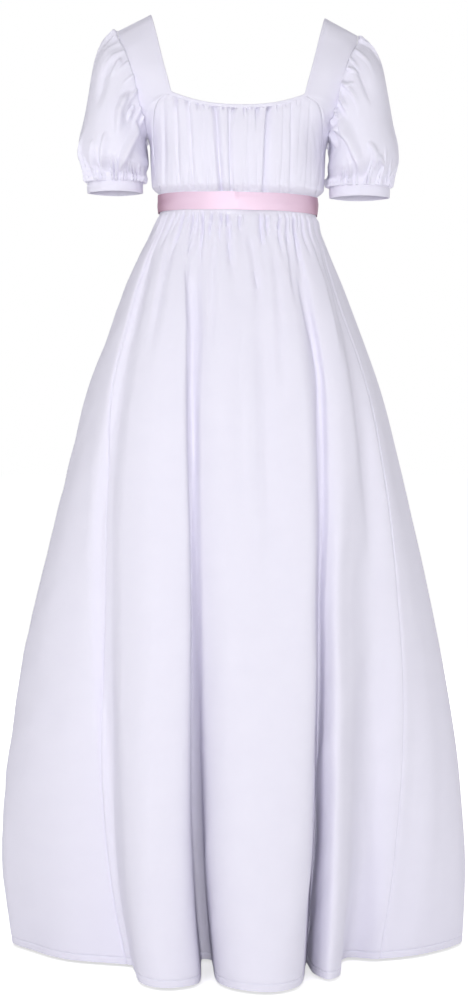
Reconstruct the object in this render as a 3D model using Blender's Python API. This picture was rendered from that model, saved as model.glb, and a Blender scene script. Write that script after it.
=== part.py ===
"""Regency gown: gathered bodice, short puff sleeves, ribbon sash and a full, floor-length skirt.

Metres, +Z up, the front faces -Y. The origin lies between the undersides of the two shoulder
straps, where the gown is held up. Left and right are the wearer's: left is +X.
"""

import math
from collections import namedtuple

import bmesh
import bpy
from mathutils import Vector


def table(columns, rows):
    """Return the rows of a table with their columns named."""
    row_type = namedtuple("Row", columns)
    return tuple(row_type(*row) for row in rows)


# Cloth and seams
CLOTH = 0.0016
CUFF_CLOTH = 0.0020
RIBBON = 0.0010
SEAM_GAP = 0.0003
LAID_ON = 0.0008
STRAP_SEAM = 0.010
FOLD_SEAM = 0.010

# Share of a cell, to each side of a point, over which its normal is measured
NORMAL_REACH = 0.35

# Levels, below the shoulder
WAIST_SEAM = -0.2880
SASH_TOP = -0.2740
SASH_BOTTOM = -0.3025
HIP = -0.4770
KNEE = -0.9005
HEM = -1.4220

# The whole gown hangs a little lower on its left
LEAN = 0.020
LEAN_END = -0.60

# Torso
ROUNDNESS = 2.2
NECK_HALF = 0.133
SHOULDER_SLOPE = 0.52
SLOPE_START = -0.075
TORSO = table("height half_width front back", (
    (-0.2880, 0.1195, 0.0955, 0.0920),
    (-0.2740, 0.1205, 0.0965, 0.0930),
    (-0.2620, 0.1315, 0.1060, 0.0985),
    (-0.2400, 0.1330, 0.1095, 0.1010),
    (-0.2100, 0.1335, 0.1115, 0.1030),
    (-0.1900, 0.1375, 0.1110, 0.1040),
    (-0.1660, 0.1500, 0.1065, 0.1040),
    (-0.1480, 0.1660, 0.1025, 0.1030),
    (-0.1330, 0.1745, 0.0975, 0.1010),
    (-0.1050, 0.1950, 0.0850, 0.0950),
    (-0.0780, 0.2150, 0.0710, 0.0830),
    (-0.0500, 0.2180, 0.0540, 0.0680),
    (-0.0250, 0.2190, 0.0360, 0.0470),
    (-0.0075, 0.2200, 0.0180, 0.0240),
    (0.0016, 0.2200, 0.0000, 0.0000),
))
CREST = len(TORSO) - 1

# Half of the front and of the back, from the waist up: seam or neck edge, and side seam or armhole
DRAFT_COLUMNS = "inner_x inner_height outer_x outer_height"
FRONT_DRAFT = table(DRAFT_COLUMNS, (
    (0.1150, -0.2880, 0.1195, -0.2880),
    (0.1170, -0.2740, 0.1205, -0.2740),
    (0.1225, -0.2550, 0.1320, -0.2550),
    (0.1265, -0.2320, 0.1332, -0.2320),
    (0.1285, -0.2050, 0.1345, -0.2120),
    (0.1288, -0.1780, 0.1375, -0.1960),
    (0.1260, -0.1540, 0.1395, -0.1780),
    (0.1200, -0.1390, 0.1440, -0.1570),
    (0.1110, -0.1315, 0.1490, -0.1380),
    (0.1010, -0.1255, 0.1520, -0.1230),
    (0.1050, -0.1080, 0.1555, -0.1040),
    (0.1110, -0.0860, 0.1630, -0.0800),
    (0.1175, -0.0600, 0.1710, -0.0540),
    (0.1240, -0.0330, 0.1785, -0.0280),
    (0.1295, -0.0120, 0.1820, -0.0100),
    (0.1330, 0.0016, 0.1835, 0.0016),
))
BACK_DRAFT = table(DRAFT_COLUMNS, (
    (0.0900, -0.2880, 0.1195, -0.2880),
    (0.0900, -0.2740, 0.1205, -0.2740),
    (0.0940, -0.2550, 0.1320, -0.2550),
    (0.0960, -0.2320, 0.1332, -0.2320),
    (0.0970, -0.2050, 0.1345, -0.2120),
    (0.0980, -0.1850, 0.1375, -0.1960),
    (0.0990, -0.1670, 0.1400, -0.1780),
    (0.1000, -0.1540, 0.1450, -0.1570),
    (0.1010, -0.1440, 0.1500, -0.1380),
    (0.1030, -0.1340, 0.1530, -0.1230),
    (0.1090, -0.1130, 0.1570, -0.1040),
    (0.1150, -0.0880, 0.1640, -0.0800),
    (0.1200, -0.0600, 0.1720, -0.0540),
    (0.1260, -0.0330, 0.1790, -0.0280),
    (0.1300, -0.0120, 0.1825, -0.0100),
    (0.1330, 0.0016, 0.1835, 0.0016),
))
UNDERARM_ROW = 5
CORNER_ROW = 9
FRONT_NECK = -0.1457
BACK_NECK = -0.1500
NECK_CURVE = 2.2
FRONT_COLUMNS = 60
BACK_COLUMNS = 20
STRAP_COLUMNS = 5

# Gathers of the front: where each starts at the neck and ends at the waist
GATHERS = table("neck_x waist_x depth half_width top bottom", (
    (-0.1130, -0.1130, 0.0026, 0.0050, 0.75, 0.00),
    (-0.0970, -0.0870, 0.0026, 0.0045, 0.90, 0.05),
    (-0.0790, -0.0660, 0.0026, 0.0045, 0.90, 0.05),
    (-0.0470, -0.0285, 0.0052, 0.0055, 1.00, 0.00),
    (-0.0170, -0.0120, 0.0036, 0.0050, 1.00, 0.10),
    (0.0200, 0.0090, 0.0026, 0.0055, 0.90, 0.05),
    (0.0475, 0.0375, 0.0052, 0.0055, 1.00, 0.00),
    (0.0685, 0.0630, 0.0026, 0.0045, 0.95, 0.15),
    (0.0805, 0.0780, 0.0028, 0.0045, 0.90, 0.00),
    (0.0965, 0.0860, 0.0024, 0.0045, 0.75, 0.30),
    (0.1110, 0.0990, 0.0026, 0.0045, 0.80, 0.00),
))
NECK_GATHERS = 20
NECK_GATHER_DEPTH = 0.0012
NECK_GATHER_FADE = 0.22
WAIST_GATHER_RISE = 0.08
GATHER_START = (-0.25, 0.15)
GATHER_STOP = 0.15
GATHER_EDGE_ROWS = 0.8
GATHER_EDGE_SHARE = 0.06
SASH_EASE = 0.012

# Sleeves: the ridge over the arm and the line under it, from the armhole to the cuff
SLEEVE_COLUMNS = "top_x top_z under_x under_z half_depth"
SLEEVE = table(SLEEVE_COLUMNS, (
    (0.1850, -0.0266, 0.1362, -0.1985, 0.0560),
    (0.1925, -0.0320, 0.1378, -0.2035, 0.0600),
    (0.2050, -0.0440, 0.1384, -0.2080, 0.0650),
    (0.2160, -0.0680, 0.1388, -0.2130, 0.0710),
    (0.2230, -0.0950, 0.1390, -0.2180, 0.0745),
    (0.2290, -0.1270, 0.1392, -0.2230, 0.0765),
    (0.2350, -0.1600, 0.1395, -0.2280, 0.0770),
    (0.2425, -0.1920, 0.1398, -0.2330, 0.0750),
    (0.2450, -0.2180, 0.1402, -0.2390, 0.0700),
    (0.2425, -0.2380, 0.1408, -0.2450, 0.0600),
    (0.2360, -0.2510, 0.1415, -0.2525, 0.0490),
))
CUFF_SETS = {"left": (0.1405, 0.2325), "right": (0.1460, 0.2305)}
CUFF_TOP = -0.2550
CUFF_HEIGHT = 0.0170
SLEEVE_ROUND = 32
ARMHOLE_CLEAR = 0.0011
ARMHOLE_AXIS = Vector((0.965, 0.0, -0.263))
SLEEVE_ROUNDNESS = 0.9
CUFF_BLEND_ROWS = 3.0
ARMHOLE_BLEND_ROWS = 4.0
CAP_GATHERS = 16
CAP_GATHER_ROWS = (0.0, 0.6, 1.0, 2.6)
CAP_GATHER_TURN = (0.15, 0.75)
CUFF_GATHERS = 16
CUFF_GATHER_ROWS = (2.2, 1.0, 0.7)
GATHER_DEPTH = 0.0022

# Skirt outline at each level: half width, how far the middle is off centre, and reach to the front
SKIRT = table("height half_width middle front", (
    (-0.2880, 0.1195, 0.0000, 0.0955),
    (-0.3025, 0.1200, 0.0000, 0.0965),
    (-0.3110, 0.1240, 0.0000, 0.1000),
    (-0.3270, 0.1290, -0.0020, 0.1045),
    (-0.3616, 0.1450, -0.0040, 0.1150),
    (-0.4080, 0.1650, -0.0052, 0.1310),
    (-0.4770, 0.1912, -0.0055, 0.1540),
    (-0.5700, 0.2235, -0.0066, 0.1790),
    (-0.6800, 0.2525, -0.0070, 0.2030),
    (-0.7900, 0.2790, -0.0075, 0.2240),
    (-0.9005, 0.3045, -0.0088, 0.2430),
    (-1.0300, 0.3300, -0.0091, 0.2650),
    (-1.1699, 0.3495, -0.0088, 0.2880),
    (-1.3000, 0.3565, -0.0060, 0.3090),
    (-1.4220, 0.3480, -0.0010, 0.3280),
))

# Fold lines from the gown's right side across the front to its left. Places are shares of the
# half width, reaches are shares of the front's reach at the same level.
FOLDS = table("waist hip hip_reach knee knee_reach hem hem_reach", (
    (-1.000, -1.000, 0.00, -1.000, 0.00, -1.000, 0.00),
    (-0.985, -0.964, 0.29, -0.914, 0.35, -0.905, 0.20),
    (-0.955, -0.917, 0.49, -0.759, 0.58, -0.716, 0.40),
    (-0.915, -0.856, 0.63, -0.637, 0.68, -0.475, 0.50),
    (-0.839, -0.791, 0.70, -0.590, 0.72, -0.440, 0.54),
    (-0.751, -0.685, 0.83, -0.515, 0.84, -0.405, 0.84),
    (-0.653, -0.527, 0.95, -0.378, 0.96, -0.292, 0.95),
    (-0.579, -0.368, 0.98, -0.217, 0.96, -0.165, 0.85),
    (-0.520, -0.335, 0.90, -0.205, 0.66, -0.160, 0.28),
    (-0.480, -0.290, 0.90, -0.160, 0.66, -0.108, 0.28),
    (-0.430, -0.235, 0.97, -0.134, 0.90, -0.086, 0.82),
    (-0.288, -0.077, 1.02, -0.018, 1.00, 0.010, 0.98),
    (0.026, 0.170, 1.00, 0.143, 1.01, 0.159, 1.02),
    (0.461, 0.464, 0.99, 0.372, 0.94, 0.265, 0.88),
    (0.644, 0.580, 0.85, 0.418, 0.50, 0.292, 0.08),
    (0.743, 0.650, 0.90, 0.450, 0.82, 0.318, 0.66),
    (0.818, 0.731, 0.87, 0.503, 0.88, 0.374, 0.79),
    (0.869, 0.811, 0.79, 0.568, 0.78, 0.427, 0.70),
    (0.914, 0.878, 0.66, 0.661, 0.61, 0.465, 0.38),
    (0.953, 0.931, 0.52, 0.822, 0.50, 0.618, 0.39),
    (0.981, 0.967, 0.32, 0.923, 0.31, 0.835, 0.26),
    (1.000, 1.000, 0.00, 1.000, 0.00, 1.000, 0.00),
))
RIGHT_SEAM_LINE = 3
LEFT_SEAM_LINE = 19
FRONT_PER_LINE = 3
BACK_PER_LINE = 2
BACK_REACH = 0.97
BACK_FOLD = 0.75
TINY = 1e-6
SLOPE_LIMIT = 1.2
WAIST_GATHER_DEPTH = 0.0040
WAIST_GATHER_LEVELS = (-0.3045, -0.3185, -0.3245, -0.4200)

# Sash: half width, reach to the front and to the back under the ribbon
SASH_SIZE = (0.1207, 0.0972, 0.0938)
SASH_ROUND = 72

# Neck binding
BINDING_WIDTH = 0.0045
BINDING_RISE = 0.0006
BINDING_PER_STRAP = 10
BINDING_ACROSS = 26
# How strongly the binding faces sideways, to the front or back, and up over the shoulders
BINDING_FACING = (0.35, 2.0, 1.6)

# Finishes: red, green, blue, roughness
FINISHES = {"gown_cloth": (0.86, 0.84, 0.93, 0.75), "sash_ribbon": (0.90, 0.68, 0.84, 0.45)}


def slope_between(before, after):
    """Return a gentle slope from two neighbouring steps, flat where they turn back."""
    if before * after <= 0.0:
        return 0.0
    return 2.0 * before * after / (before + after)


def hermite(start, end, start_slope, end_slope, share):
    """Return the smooth value at a share of the way between two values."""
    square = share * share
    cube = square * share
    value = (2.0 * cube - 3.0 * square + 1.0) * start + (3.0 * square - 2.0 * cube) * end
    return value + (cube - 2.0 * square + share) * start_slope + (cube - square) * end_slope


def row_value(rows, column, place):
    """Return a table column's smooth value at a fractional row number."""
    last = len(rows) - 1
    low = min(max(int(math.floor(place)), 0), last - 1)
    around = range(max(low - 1, 0), min(low + 2, last) + 1)
    values = {row: getattr(rows[row], column) for row in around}
    step = values[low + 1] - values[low]
    before = values[low] - values[low - 1] if low > 0 else step
    after = values[low + 2] - values[low + 1] if low + 2 <= last else step
    start_slope = slope_between(before, step)
    end_slope = slope_between(step, after)
    return hermite(values[low], values[low + 1], start_slope, end_slope, place - low)


def row_at(rows, column, value):
    """Return the fractional row number at which a rising or falling column takes a value."""
    low = 0.0
    high = float(len(rows) - 1)
    rising = getattr(rows[-1], column) > getattr(rows[0], column)
    for _ in range(30):
        middle = 0.5 * (low + high)
        if (row_value(rows, column, middle) < value) == rising:
            low = middle
        else:
            high = middle
    return 0.5 * (low + high)


def ease(start, end, value):
    """Return 0 before start, 1 after end and a smooth rise between."""
    share = min(max((value - start) / (end - start), 0.0), 1.0)
    return share * share * (3.0 - 2.0 * share)


def leaned(point):
    """Return a point let down on the gown's left, less and less towards the knees."""
    lean = LEAN * ease(LEAN_END, WAIST_SEAM, point.z)
    return Vector((point.x, point.y, point.z - lean * point.x))


def torso_point(angle, row, side):
    """Return the torso's point at an angle from its middle, on a row of TORSO; side -1 is the front."""
    from_crest = CREST - row
    row = CREST - abs(from_crest)
    side = side if from_crest >= 0.0 else -side
    half_width = row_value(TORSO, "half_width", row)
    reach = row_value(TORSO, "front" if side < 0 else "back", row)
    power = 2.0 / ROUNDNESS
    x = half_width * math.copysign(abs(math.sin(angle)) ** power, angle)
    y = side * reach * max(math.cos(angle), 0.0) ** power
    height = row_value(TORSO, "height", row)
    slope = SHOULDER_SLOPE * ease(SLOPE_START, 0.0, height)
    drop = slope * max(abs(x) - NECK_HALF, 0.0)
    return leaned(Vector((x, y, height - drop)))


def torso_angle(x, row):
    """Return the angle at which the torso is x from the middle, on a row of TORSO."""
    share = min(abs(x) / row_value(TORSO, "half_width", row), 1.0)
    return math.copysign(math.asin(share ** (ROUNDNESS / 2.0)), x)


def draft_place(draft, line, row):
    """Return angle and torso row of the inner or outer line of a draft, at its row."""
    x = row_value(draft, line + "_x", row)
    place = row_at(TORSO, "height", row_value(draft, line + "_height", row))
    if line == "outer" and row <= UNDERARM_ROW:
        return math.pi / 2.0, place
    return torso_angle(x, place), place


def side_point(draft, side, across, row, hand):
    """Return a point of the strap and side piece: across 0 is its inner line, 1 its outer line."""
    inner_angle, inner_place = draft_place(draft, "inner", row)
    outer_angle, outer_place = draft_place(draft, "outer", row)
    angle = inner_angle + (outer_angle - inner_angle) * across
    place = inner_place + (outer_place - inner_place) * across
    return torso_point(hand * angle, place, side)


def middle_point(draft, side, across, row, neck):
    """Return a point of the centre piece: across runs from -1 to 1 between its two seams."""
    seam_angle = draft_place(draft, "inner", row)[0]
    corner = draft[CORNER_ROW].inner_height
    height = row_value(draft, "inner_height", row)
    sag = (corner - neck) * (height - WAIST_SEAM) / (corner - WAIST_SEAM)
    height -= sag * (1.0 - abs(across) ** NECK_CURVE)
    return torso_point(seam_angle * across, row_at(TORSO, "height", height), side)


def trough(distance, half_width):
    """Return the depth share of a soft trough at a distance from its line."""
    return math.exp(-((distance / half_width) ** 2))


def gather_depth(across, row):
    """Return how far the gathers draw the front inwards."""
    up = row / CORNER_ROW
    low_x = FRONT_DRAFT[0].inner_x
    x = across * (low_x + (FRONT_DRAFT[CORNER_ROW].inner_x - low_x) * up)
    depth = 0.0
    for gather in GATHERS:
        line = gather.waist_x + (gather.neck_x - gather.waist_x) * up
        length = ease(gather.bottom + GATHER_START[0], gather.bottom + GATHER_START[1], up)
        length *= 1.0 - ease(gather.top, gather.top + GATHER_STOP, up)
        depth += gather.depth * trough(x - line, gather.half_width) * length
    waves = 0.5 - 0.5 * math.cos(math.pi * NECK_GATHERS * (across + 1.0))
    at_neck = ease(1.0 - NECK_GATHER_FADE, 1.0, up)
    at_waist = 1.0 - ease(WAIST_GATHER_RISE, WAIST_GATHER_RISE + NECK_GATHER_FADE, up)
    depth += NECK_GATHER_DEPTH * waves * (at_neck + at_waist)
    edge = ease(0.0, GATHER_EDGE_ROWS, CORNER_ROW - row) * ease(0.0, GATHER_EDGE_SHARE, 1.0 - abs(across))
    return depth * edge * ease(SASH_TOP, SASH_TOP + SASH_EASE, row_value(FRONT_DRAFT, "inner_height", row))


def front_point(across, row):
    """Return a point of the gathered front."""
    point = middle_point(FRONT_DRAFT, -1, across, row, FRONT_NECK)
    inward = Vector((-point.x, -point.y, 0.0)).normalized()
    return point + inward * gather_depth(across, row)


def surface_grid(surface, columns, rows):
    """Return outer points and outward normals of a surface at the given column and row places."""
    points = []
    normals = []
    across = NORMAL_REACH * abs(columns[1] - columns[0])
    along = NORMAL_REACH * abs(rows[1] - rows[0])
    for row in rows:
        point_row = []
        normal_row = []
        for column in columns:
            right = surface(column + across, row) - surface(column - across, row)
            up = surface(column, row + along) - surface(column, row - along)
            point_row.append(surface(column, row))
            normal_row.append(right.cross(up).normalized())
        points.append(point_row)
        normals.append(normal_row)
    return points, normals


def flatten(normals, axis):
    """Turn normals square to an axis, so that a wall's edge stands square to its seam."""
    return [(normal - axis * normal.dot(axis)).normalized() for normal in normals]


def flatten_column(normals, column, axis, rows):
    """Turn the normals of one column square to an axis on the given rows."""
    for row in rows:
        normals[row][column] = flatten([normals[row][column]], axis)[0]


def cloth_wall(name, points, normals, thickness, slot, ring=False, keep=None):
    """Build a closed wall from its outer points; ring joins the last column to the first."""
    rows = len(points)
    columns = len(points[0])
    mesh = bmesh.new()
    outer = [[mesh.verts.new(point) for point in row] for row in points]
    inner = []
    for point_row, normal_row in zip(points, normals):
        inner.append([mesh.verts.new(p - n * thickness) for p, n in zip(point_row, normal_row)])
    cells = set()
    for row in range(rows - 1):
        for column in range(columns if ring else columns - 1):
            if keep is None or keep(column, row):
                cells.add((column, row))
    for column, row in sorted(cells):
        after = (column + 1) % columns
        low_a, low_b = outer[row][column], outer[row][after]
        high_a, high_b = outer[row + 1][column], outer[row + 1][after]
        mesh.faces.new((low_a, low_b, high_b, high_a))
        in_low_a, in_low_b = inner[row][column], inner[row][after]
        in_high_a, in_high_b = inner[row + 1][column], inner[row + 1][after]
        mesh.faces.new((in_low_b, in_low_a, in_high_a, in_high_b))
        before = (column - 1) % columns if ring else column - 1
        beyond = after if ring else column + 1
        if (column, row - 1) not in cells:
            mesh.faces.new((low_b, low_a, in_low_a, in_low_b))
        if (column, row + 1) not in cells:
            mesh.faces.new((high_a, high_b, in_high_b, in_high_a))
        if (before, row) not in cells:
            mesh.faces.new((low_a, high_a, in_high_a, in_low_a))
        if (beyond, row) not in cells:
            mesh.faces.new((high_b, low_b, in_low_b, in_high_b))
    loose = [vertex for vertex in mesh.verts if not vertex.link_faces]
    bmesh.ops.delete(mesh, geom=loose, context="VERTS")
    data = bpy.data.meshes.new(name)
    mesh.to_mesh(data)
    mesh.free()
    data.shade_smooth()
    data.set_sharp_from_angle(angle=math.radians(50.0))
    data.materials.append(bpy.data.materials[slot])
    node = bpy.data.objects.new(name, data)
    bpy.context.scene.collection.objects.link(node)
    return node


def spread(start, end, count):
    """Return count + 1 evenly spaced places."""
    return [start + (end - start) * index / count for index in range(count + 1)]


def add_finishes():
    """Make the cloth and ribbon materials."""
    for name, (red, green, blue, roughness) in FINISHES.items():
        material = bpy.data.materials.new(name)
        material.use_nodes = True
        shader = material.node_tree.nodes["Principled BSDF"]
        shader.inputs["Base Color"].default_value = (red, green, blue, 1.0)
        shader.inputs["Roughness"].default_value = roughness
        shader.inputs["Metallic"].default_value = 0.0


def add_bodice_front():
    """Build the gathered centre front."""
    edge = 1.0 - SEAM_GAP / FRONT_DRAFT[0].inner_x
    columns = spread(-edge, edge, FRONT_COLUMNS)
    rows = [float(row) for row in range(CORNER_ROW + 1)]
    points, normals = surface_grid(front_point, columns, rows)
    normals[0] = flatten(normals[0], Vector((0.0, 0.0, 1.0)))
    cloth_wall("bodice_front", points, normals, CLOTH, "gown_cloth")


def square_strap_edges(points, normals, column, hand, axis_side):
    """Square a strap's end at the shoulder seam and its outer edge to the armhole."""
    last = len(points) - 1
    normals[0] = flatten(normals[0], Vector((0.0, 0.0, 1.0)))
    normals[last] = flatten(normals[last], Vector((0.0, 1.0, 0.0)))
    side_axis = Vector((0.0, 1.0, 0.0))
    arm_axis = Vector((hand * ARMHOLE_AXIS.x, 0.0, ARMHOLE_AXIS.z))
    flatten_column(normals, column, side_axis, range(UNDERARM_ROW + 1))
    flatten_column(normals, column, arm_axis, range(UNDERARM_ROW + 1, last))
    for row in range(UNDERARM_ROW + 1):
        points[row][column].y = axis_side * SEAM_GAP / 2.0
    for point in points[last]:
        point.y = axis_side * SEAM_GAP / 2.0


def add_bodice_side(name, hand):
    """Build a shoulder strap and side front in one piece."""
    columns = spread(STRAP_SEAM, 1.0, STRAP_COLUMNS)
    if hand < 0:
        columns.reverse()
    rows = [float(row) for row in range(len(FRONT_DRAFT))]

    def surface(across, row):
        return side_point(FRONT_DRAFT, -1, across, row, hand)

    points, normals = surface_grid(surface, columns, rows)
    if hand < 0:
        normals = [[-normal for normal in row] for row in normals]
    square_strap_edges(points, normals, 0 if hand < 0 else STRAP_COLUMNS, hand, -1)
    cloth_wall(name, points, normals, CLOTH, "gown_cloth")


def back_surface(across, row):
    """Return a point of the back: 2 to 1 is its left strap, 1 to -1 its middle, -1 to -2 its right."""
    if abs(across) <= 1.0:
        return middle_point(BACK_DRAFT, 1, across, row, BACK_NECK)
    return side_point(BACK_DRAFT, 1, abs(across) - 1.0, row, math.copysign(1.0, across))


def add_bodice_back():
    """Build the back with both back straps."""
    straps = spread(2.0, 1.0, STRAP_COLUMNS)
    middle = spread(1.0, -1.0, BACK_COLUMNS)
    columns = straps[:-1] + middle + [-place for place in reversed(straps[:-1])]
    rows = [float(row) for row in range(len(BACK_DRAFT))]
    points = [[back_surface(column, row) for column in columns] for row in rows]
    normals = []
    for row in range(len(rows)):
        normal_row = []
        for column in range(len(columns)):
            in_strap = row > CORNER_ROW
            left = column if in_strap and column == STRAP_COLUMNS + BACK_COLUMNS else max(column - 1, 0)
            right = column if in_strap and column == STRAP_COLUMNS else min(column + 1, len(columns) - 1)
            across = points[row][right] - points[row][left]
            up = points[min(row + 1, len(rows) - 1)][column] - points[max(row - 1, 0)][column]
            normal_row.append(across.cross(up).normalized())
        normals.append(normal_row)
    last = len(columns) - 1
    square_strap_edges(points, normals, 0, 1.0, 1)
    square_strap_edges(points, normals, last, -1.0, 1)

    def keep(column, row):
        in_middle = STRAP_COLUMNS <= column < STRAP_COLUMNS + BACK_COLUMNS
        return row < CORNER_ROW or not in_middle

    cloth_wall("bodice_back", points, normals, CLOTH, "gown_cloth", keep=keep)


def along(curve, share):
    """Return the point at a share of a polyline's length."""
    lengths = [(curve[index + 1] - curve[index]).length for index in range(len(curve) - 1)]
    left = share * sum(lengths)
    for index, length in enumerate(lengths):
        if left <= length or index == len(lengths) - 1:
            return curve[index].lerp(curve[index + 1], left / length)
        left -= length
    return curve[-1]


def armhole_line(draft, side, hand):
    """Return the armhole edge of the front or back, from the underarm to the shoulder seam."""
    rows = range(UNDERARM_ROW, len(draft))
    return [side_point(draft, side, 1.0, float(row), hand) for row in rows]


def armhole_point(front, back, turn):
    """Return the armhole at a turn of 0 (shoulder) through 0.25 (front) and 0.5 (underarm)."""
    turn %= 1.0
    if turn <= 0.5:
        return along(front, 1.0 - 2.0 * turn)
    return along(back, 2.0 * turn - 1.0)


def cuff_drop(hand, cuff):
    """Return how much lower a cuff hangs because the gown leans."""
    return LEAN * hand * 0.5 * sum(cuff)


def sleeve_ring(hand, cuff, turn, place):
    """Return the plain sleeve's point at a turn round the arm and a place from armhole to cuff."""
    last = len(SLEEVE) - 1
    top_x, top_z, under_x, under_z, depth = (
        row_value(SLEEVE, column, place) for column in SLEEVE_COLUMNS.split()
    )
    to_cuff = ease(last - CUFF_BLEND_ROWS, last, place)
    top_x += (cuff[1] - top_x) * to_cuff
    under_x += (cuff[0] - under_x) * to_cuff
    depth += (0.5 * (cuff[1] - cuff[0]) - depth) * to_cuff
    level = CUFF_TOP + SEAM_GAP
    top_z += (level - top_z) * ease(last - 1.0, last, place)
    under_z += (level - under_z) * ease(last - 1.0, last, place)
    cosine = math.cos(2.0 * math.pi * turn)
    sine = math.sin(2.0 * math.pi * turn)
    x = hand * (0.5 * (top_x + under_x) + 0.5 * (top_x - under_x) * cosine)
    y = -math.copysign(depth * abs(sine) ** SLEEVE_ROUNDNESS, sine)
    z = 0.5 * (top_z + under_z) + 0.5 * (top_z - under_z) * cosine
    return Vector((x, y, z - cuff_drop(hand, cuff)))


def sleeve_gathers(turn, place):
    """Return how far the gathers at the cap and over the cuff draw the sleeve in."""
    last = len(SLEEVE) - 1
    cap = 0.5 - 0.5 * math.cos(2.0 * math.pi * CAP_GATHERS * turn)
    start, full, steady, end = CAP_GATHER_ROWS
    near_cap = ease(start, full, place) * (1.0 - ease(steady, end, place))
    over = ease(*CAP_GATHER_TURN, math.cos(2.0 * math.pi * turn))
    wave = 0.5 - 0.5 * math.cos(2.0 * math.pi * CUFF_GATHERS * turn)
    start, full, steady = (last - rows for rows in CUFF_GATHER_ROWS)
    near_cuff = ease(start, full, place) * (1.0 - ease(steady, last, place))
    return GATHER_DEPTH * (cap * near_cap * over + wave * near_cuff)


def sleeve_surface(hand, cuff):
    """Return the sleeve's surface: across is the turn round the arm, up runs from cuff to armhole."""
    front = armhole_line(FRONT_DRAFT, -1, hand)
    back = armhole_line(BACK_DRAFT, 1, hand)
    last = len(SLEEVE) - 1
    axis = Vector((hand * ARMHOLE_AXIS.x, 0.0, ARMHOLE_AXIS.z))

    def surface(across, up):
        turn = 0.25 + hand * across
        place = last - up
        edge = armhole_point(front, back, turn) + axis * ARMHOLE_CLEAR
        point = sleeve_ring(hand, cuff, turn, place)
        near_edge = 1.0 - ease(0.0, ARMHOLE_BLEND_ROWS, place)
        point += (edge - sleeve_ring(hand, cuff, turn, 0.0)) * near_edge
        centre = (sleeve_ring(hand, cuff, 0.0, place) + sleeve_ring(hand, cuff, 0.5, place)) * 0.5
        return point + (centre - point).normalized() * sleeve_gathers(turn, place)

    return surface, axis


def add_sleeve(name, hand, cuff):
    """Build a puff sleeve, gathered into the armhole and the cuff."""
    surface, axis = sleeve_surface(hand, cuff)
    columns = [index / SLEEVE_ROUND for index in range(SLEEVE_ROUND)]
    rows = [float(row) for row in range(len(SLEEVE))]
    points, normals = surface_grid(surface, columns, rows)
    normals[0] = flatten(normals[0], Vector((0.0, 0.0, 1.0)))
    normals[-1] = flatten(normals[-1], axis)
    cloth_wall(name, points, normals, CLOTH, "gown_cloth", ring=True)


def add_cuff(name, hand, cuff):
    """Build the narrow band of a sleeve."""
    radius = 0.5 * (cuff[1] - cuff[0])
    centre = Vector((hand * 0.5 * sum(cuff), 0.0, -cuff_drop(hand, cuff)))

    def surface(across, up):
        angle = 2.0 * math.pi * across
        level = CUFF_TOP - CUFF_HEIGHT * (1.0 - up)
        return centre + Vector((radius * math.cos(angle), radius * math.sin(angle), level))

    columns = [index / SLEEVE_ROUND for index in range(SLEEVE_ROUND)]
    points, normals = surface_grid(surface, columns, [0.0, 1.0])
    cloth_wall(name, points, normals, CUFF_CLOTH, "gown_cloth", ring=True)


def level_share(height):
    """Return the two fold levels around a height and how far it is between them."""
    levels = (WAIST_SEAM, HIP, KNEE, HEM)
    for index in range(len(levels) - 1):
        if height >= levels[index + 1] or index == len(levels) - 2:
            return index, (height - levels[index]) / (levels[index + 1] - levels[index])
    return 0, 0.0


def fold_levels(fold):
    """Return a fold line's place and reach at each of the four levels, waist to hem."""
    waist_reach = (1.0 - abs(fold.waist) ** ROUNDNESS) ** (1.0 / ROUNDNESS)
    return table("place reach", (
        (fold.waist, waist_reach),
        (fold.hip, fold.hip_reach),
        (fold.knee, fold.knee_reach),
        (fold.hem, fold.hem_reach),
    ))


FOLD_LEVELS = tuple(fold_levels(fold) for fold in FOLDS)
LINES_AROUND = 2 * (len(FOLDS) - 1)


def plan_line(index, height):
    """Return the plan point of a fold line at a height; the back turns the front about."""
    last = len(FOLDS) - 1
    back = index > last
    levels = FOLD_LEVELS[index - last if back else index]
    level, share = level_share(height)
    place = row_value(levels, "place", level + share)
    reach = row_value(levels, "reach", level + share)
    section = row_at(SKIRT, "height", height)
    half_width = row_value(SKIRT, "half_width", section)
    middle = row_value(SKIRT, "middle", section)
    front = row_value(SKIRT, "front", section)
    if back:
        plain = (1.0 - min(abs(place), 1.0) ** ROUNDNESS) ** (1.0 / ROUNDNESS)
        reach = plain + (reach - plain) * BACK_FOLD
        return Vector((middle - half_width * place, BACK_REACH * front * reach, 0.0))
    return Vector((middle + half_width * place, -front * reach, 0.0))


def waist_gather(place, height):
    """Return how far the gathers under the sash draw the skirt in."""
    start, full, steady, end = WAIST_GATHER_LEVELS
    wave = 0.5 - 0.5 * math.cos(2.0 * math.pi * place)
    return WAIST_GATHER_DEPTH * wave * ease(start, full, height) * (1.0 - ease(steady, end, height))


def skirt_point(place, height):
    """Return the skirt's point at a fractional fold line and a height."""
    low = int(math.floor(place))
    before, start, end, after = (plan_line((low + step) % LINES_AROUND, height) for step in (-1, 0, 1, 2))
    chord = (end - start).length
    start_slope = (end - before) * 0.5
    end_slope = (after - start) * 0.5
    start_most = SLOPE_LIMIT * min(chord, (start - before).length)
    end_most = SLOPE_LIMIT * min(chord, (after - end).length)
    start_slope *= min(1.0, start_most / max(start_slope.length, TINY))
    end_slope *= min(1.0, end_most / max(end_slope.length, TINY))
    point = hermite(start, end, start_slope, end_slope, place - low)
    point -= point.normalized() * waist_gather(place, height)
    return leaned(Vector((point.x, point.y, height)))


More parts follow.
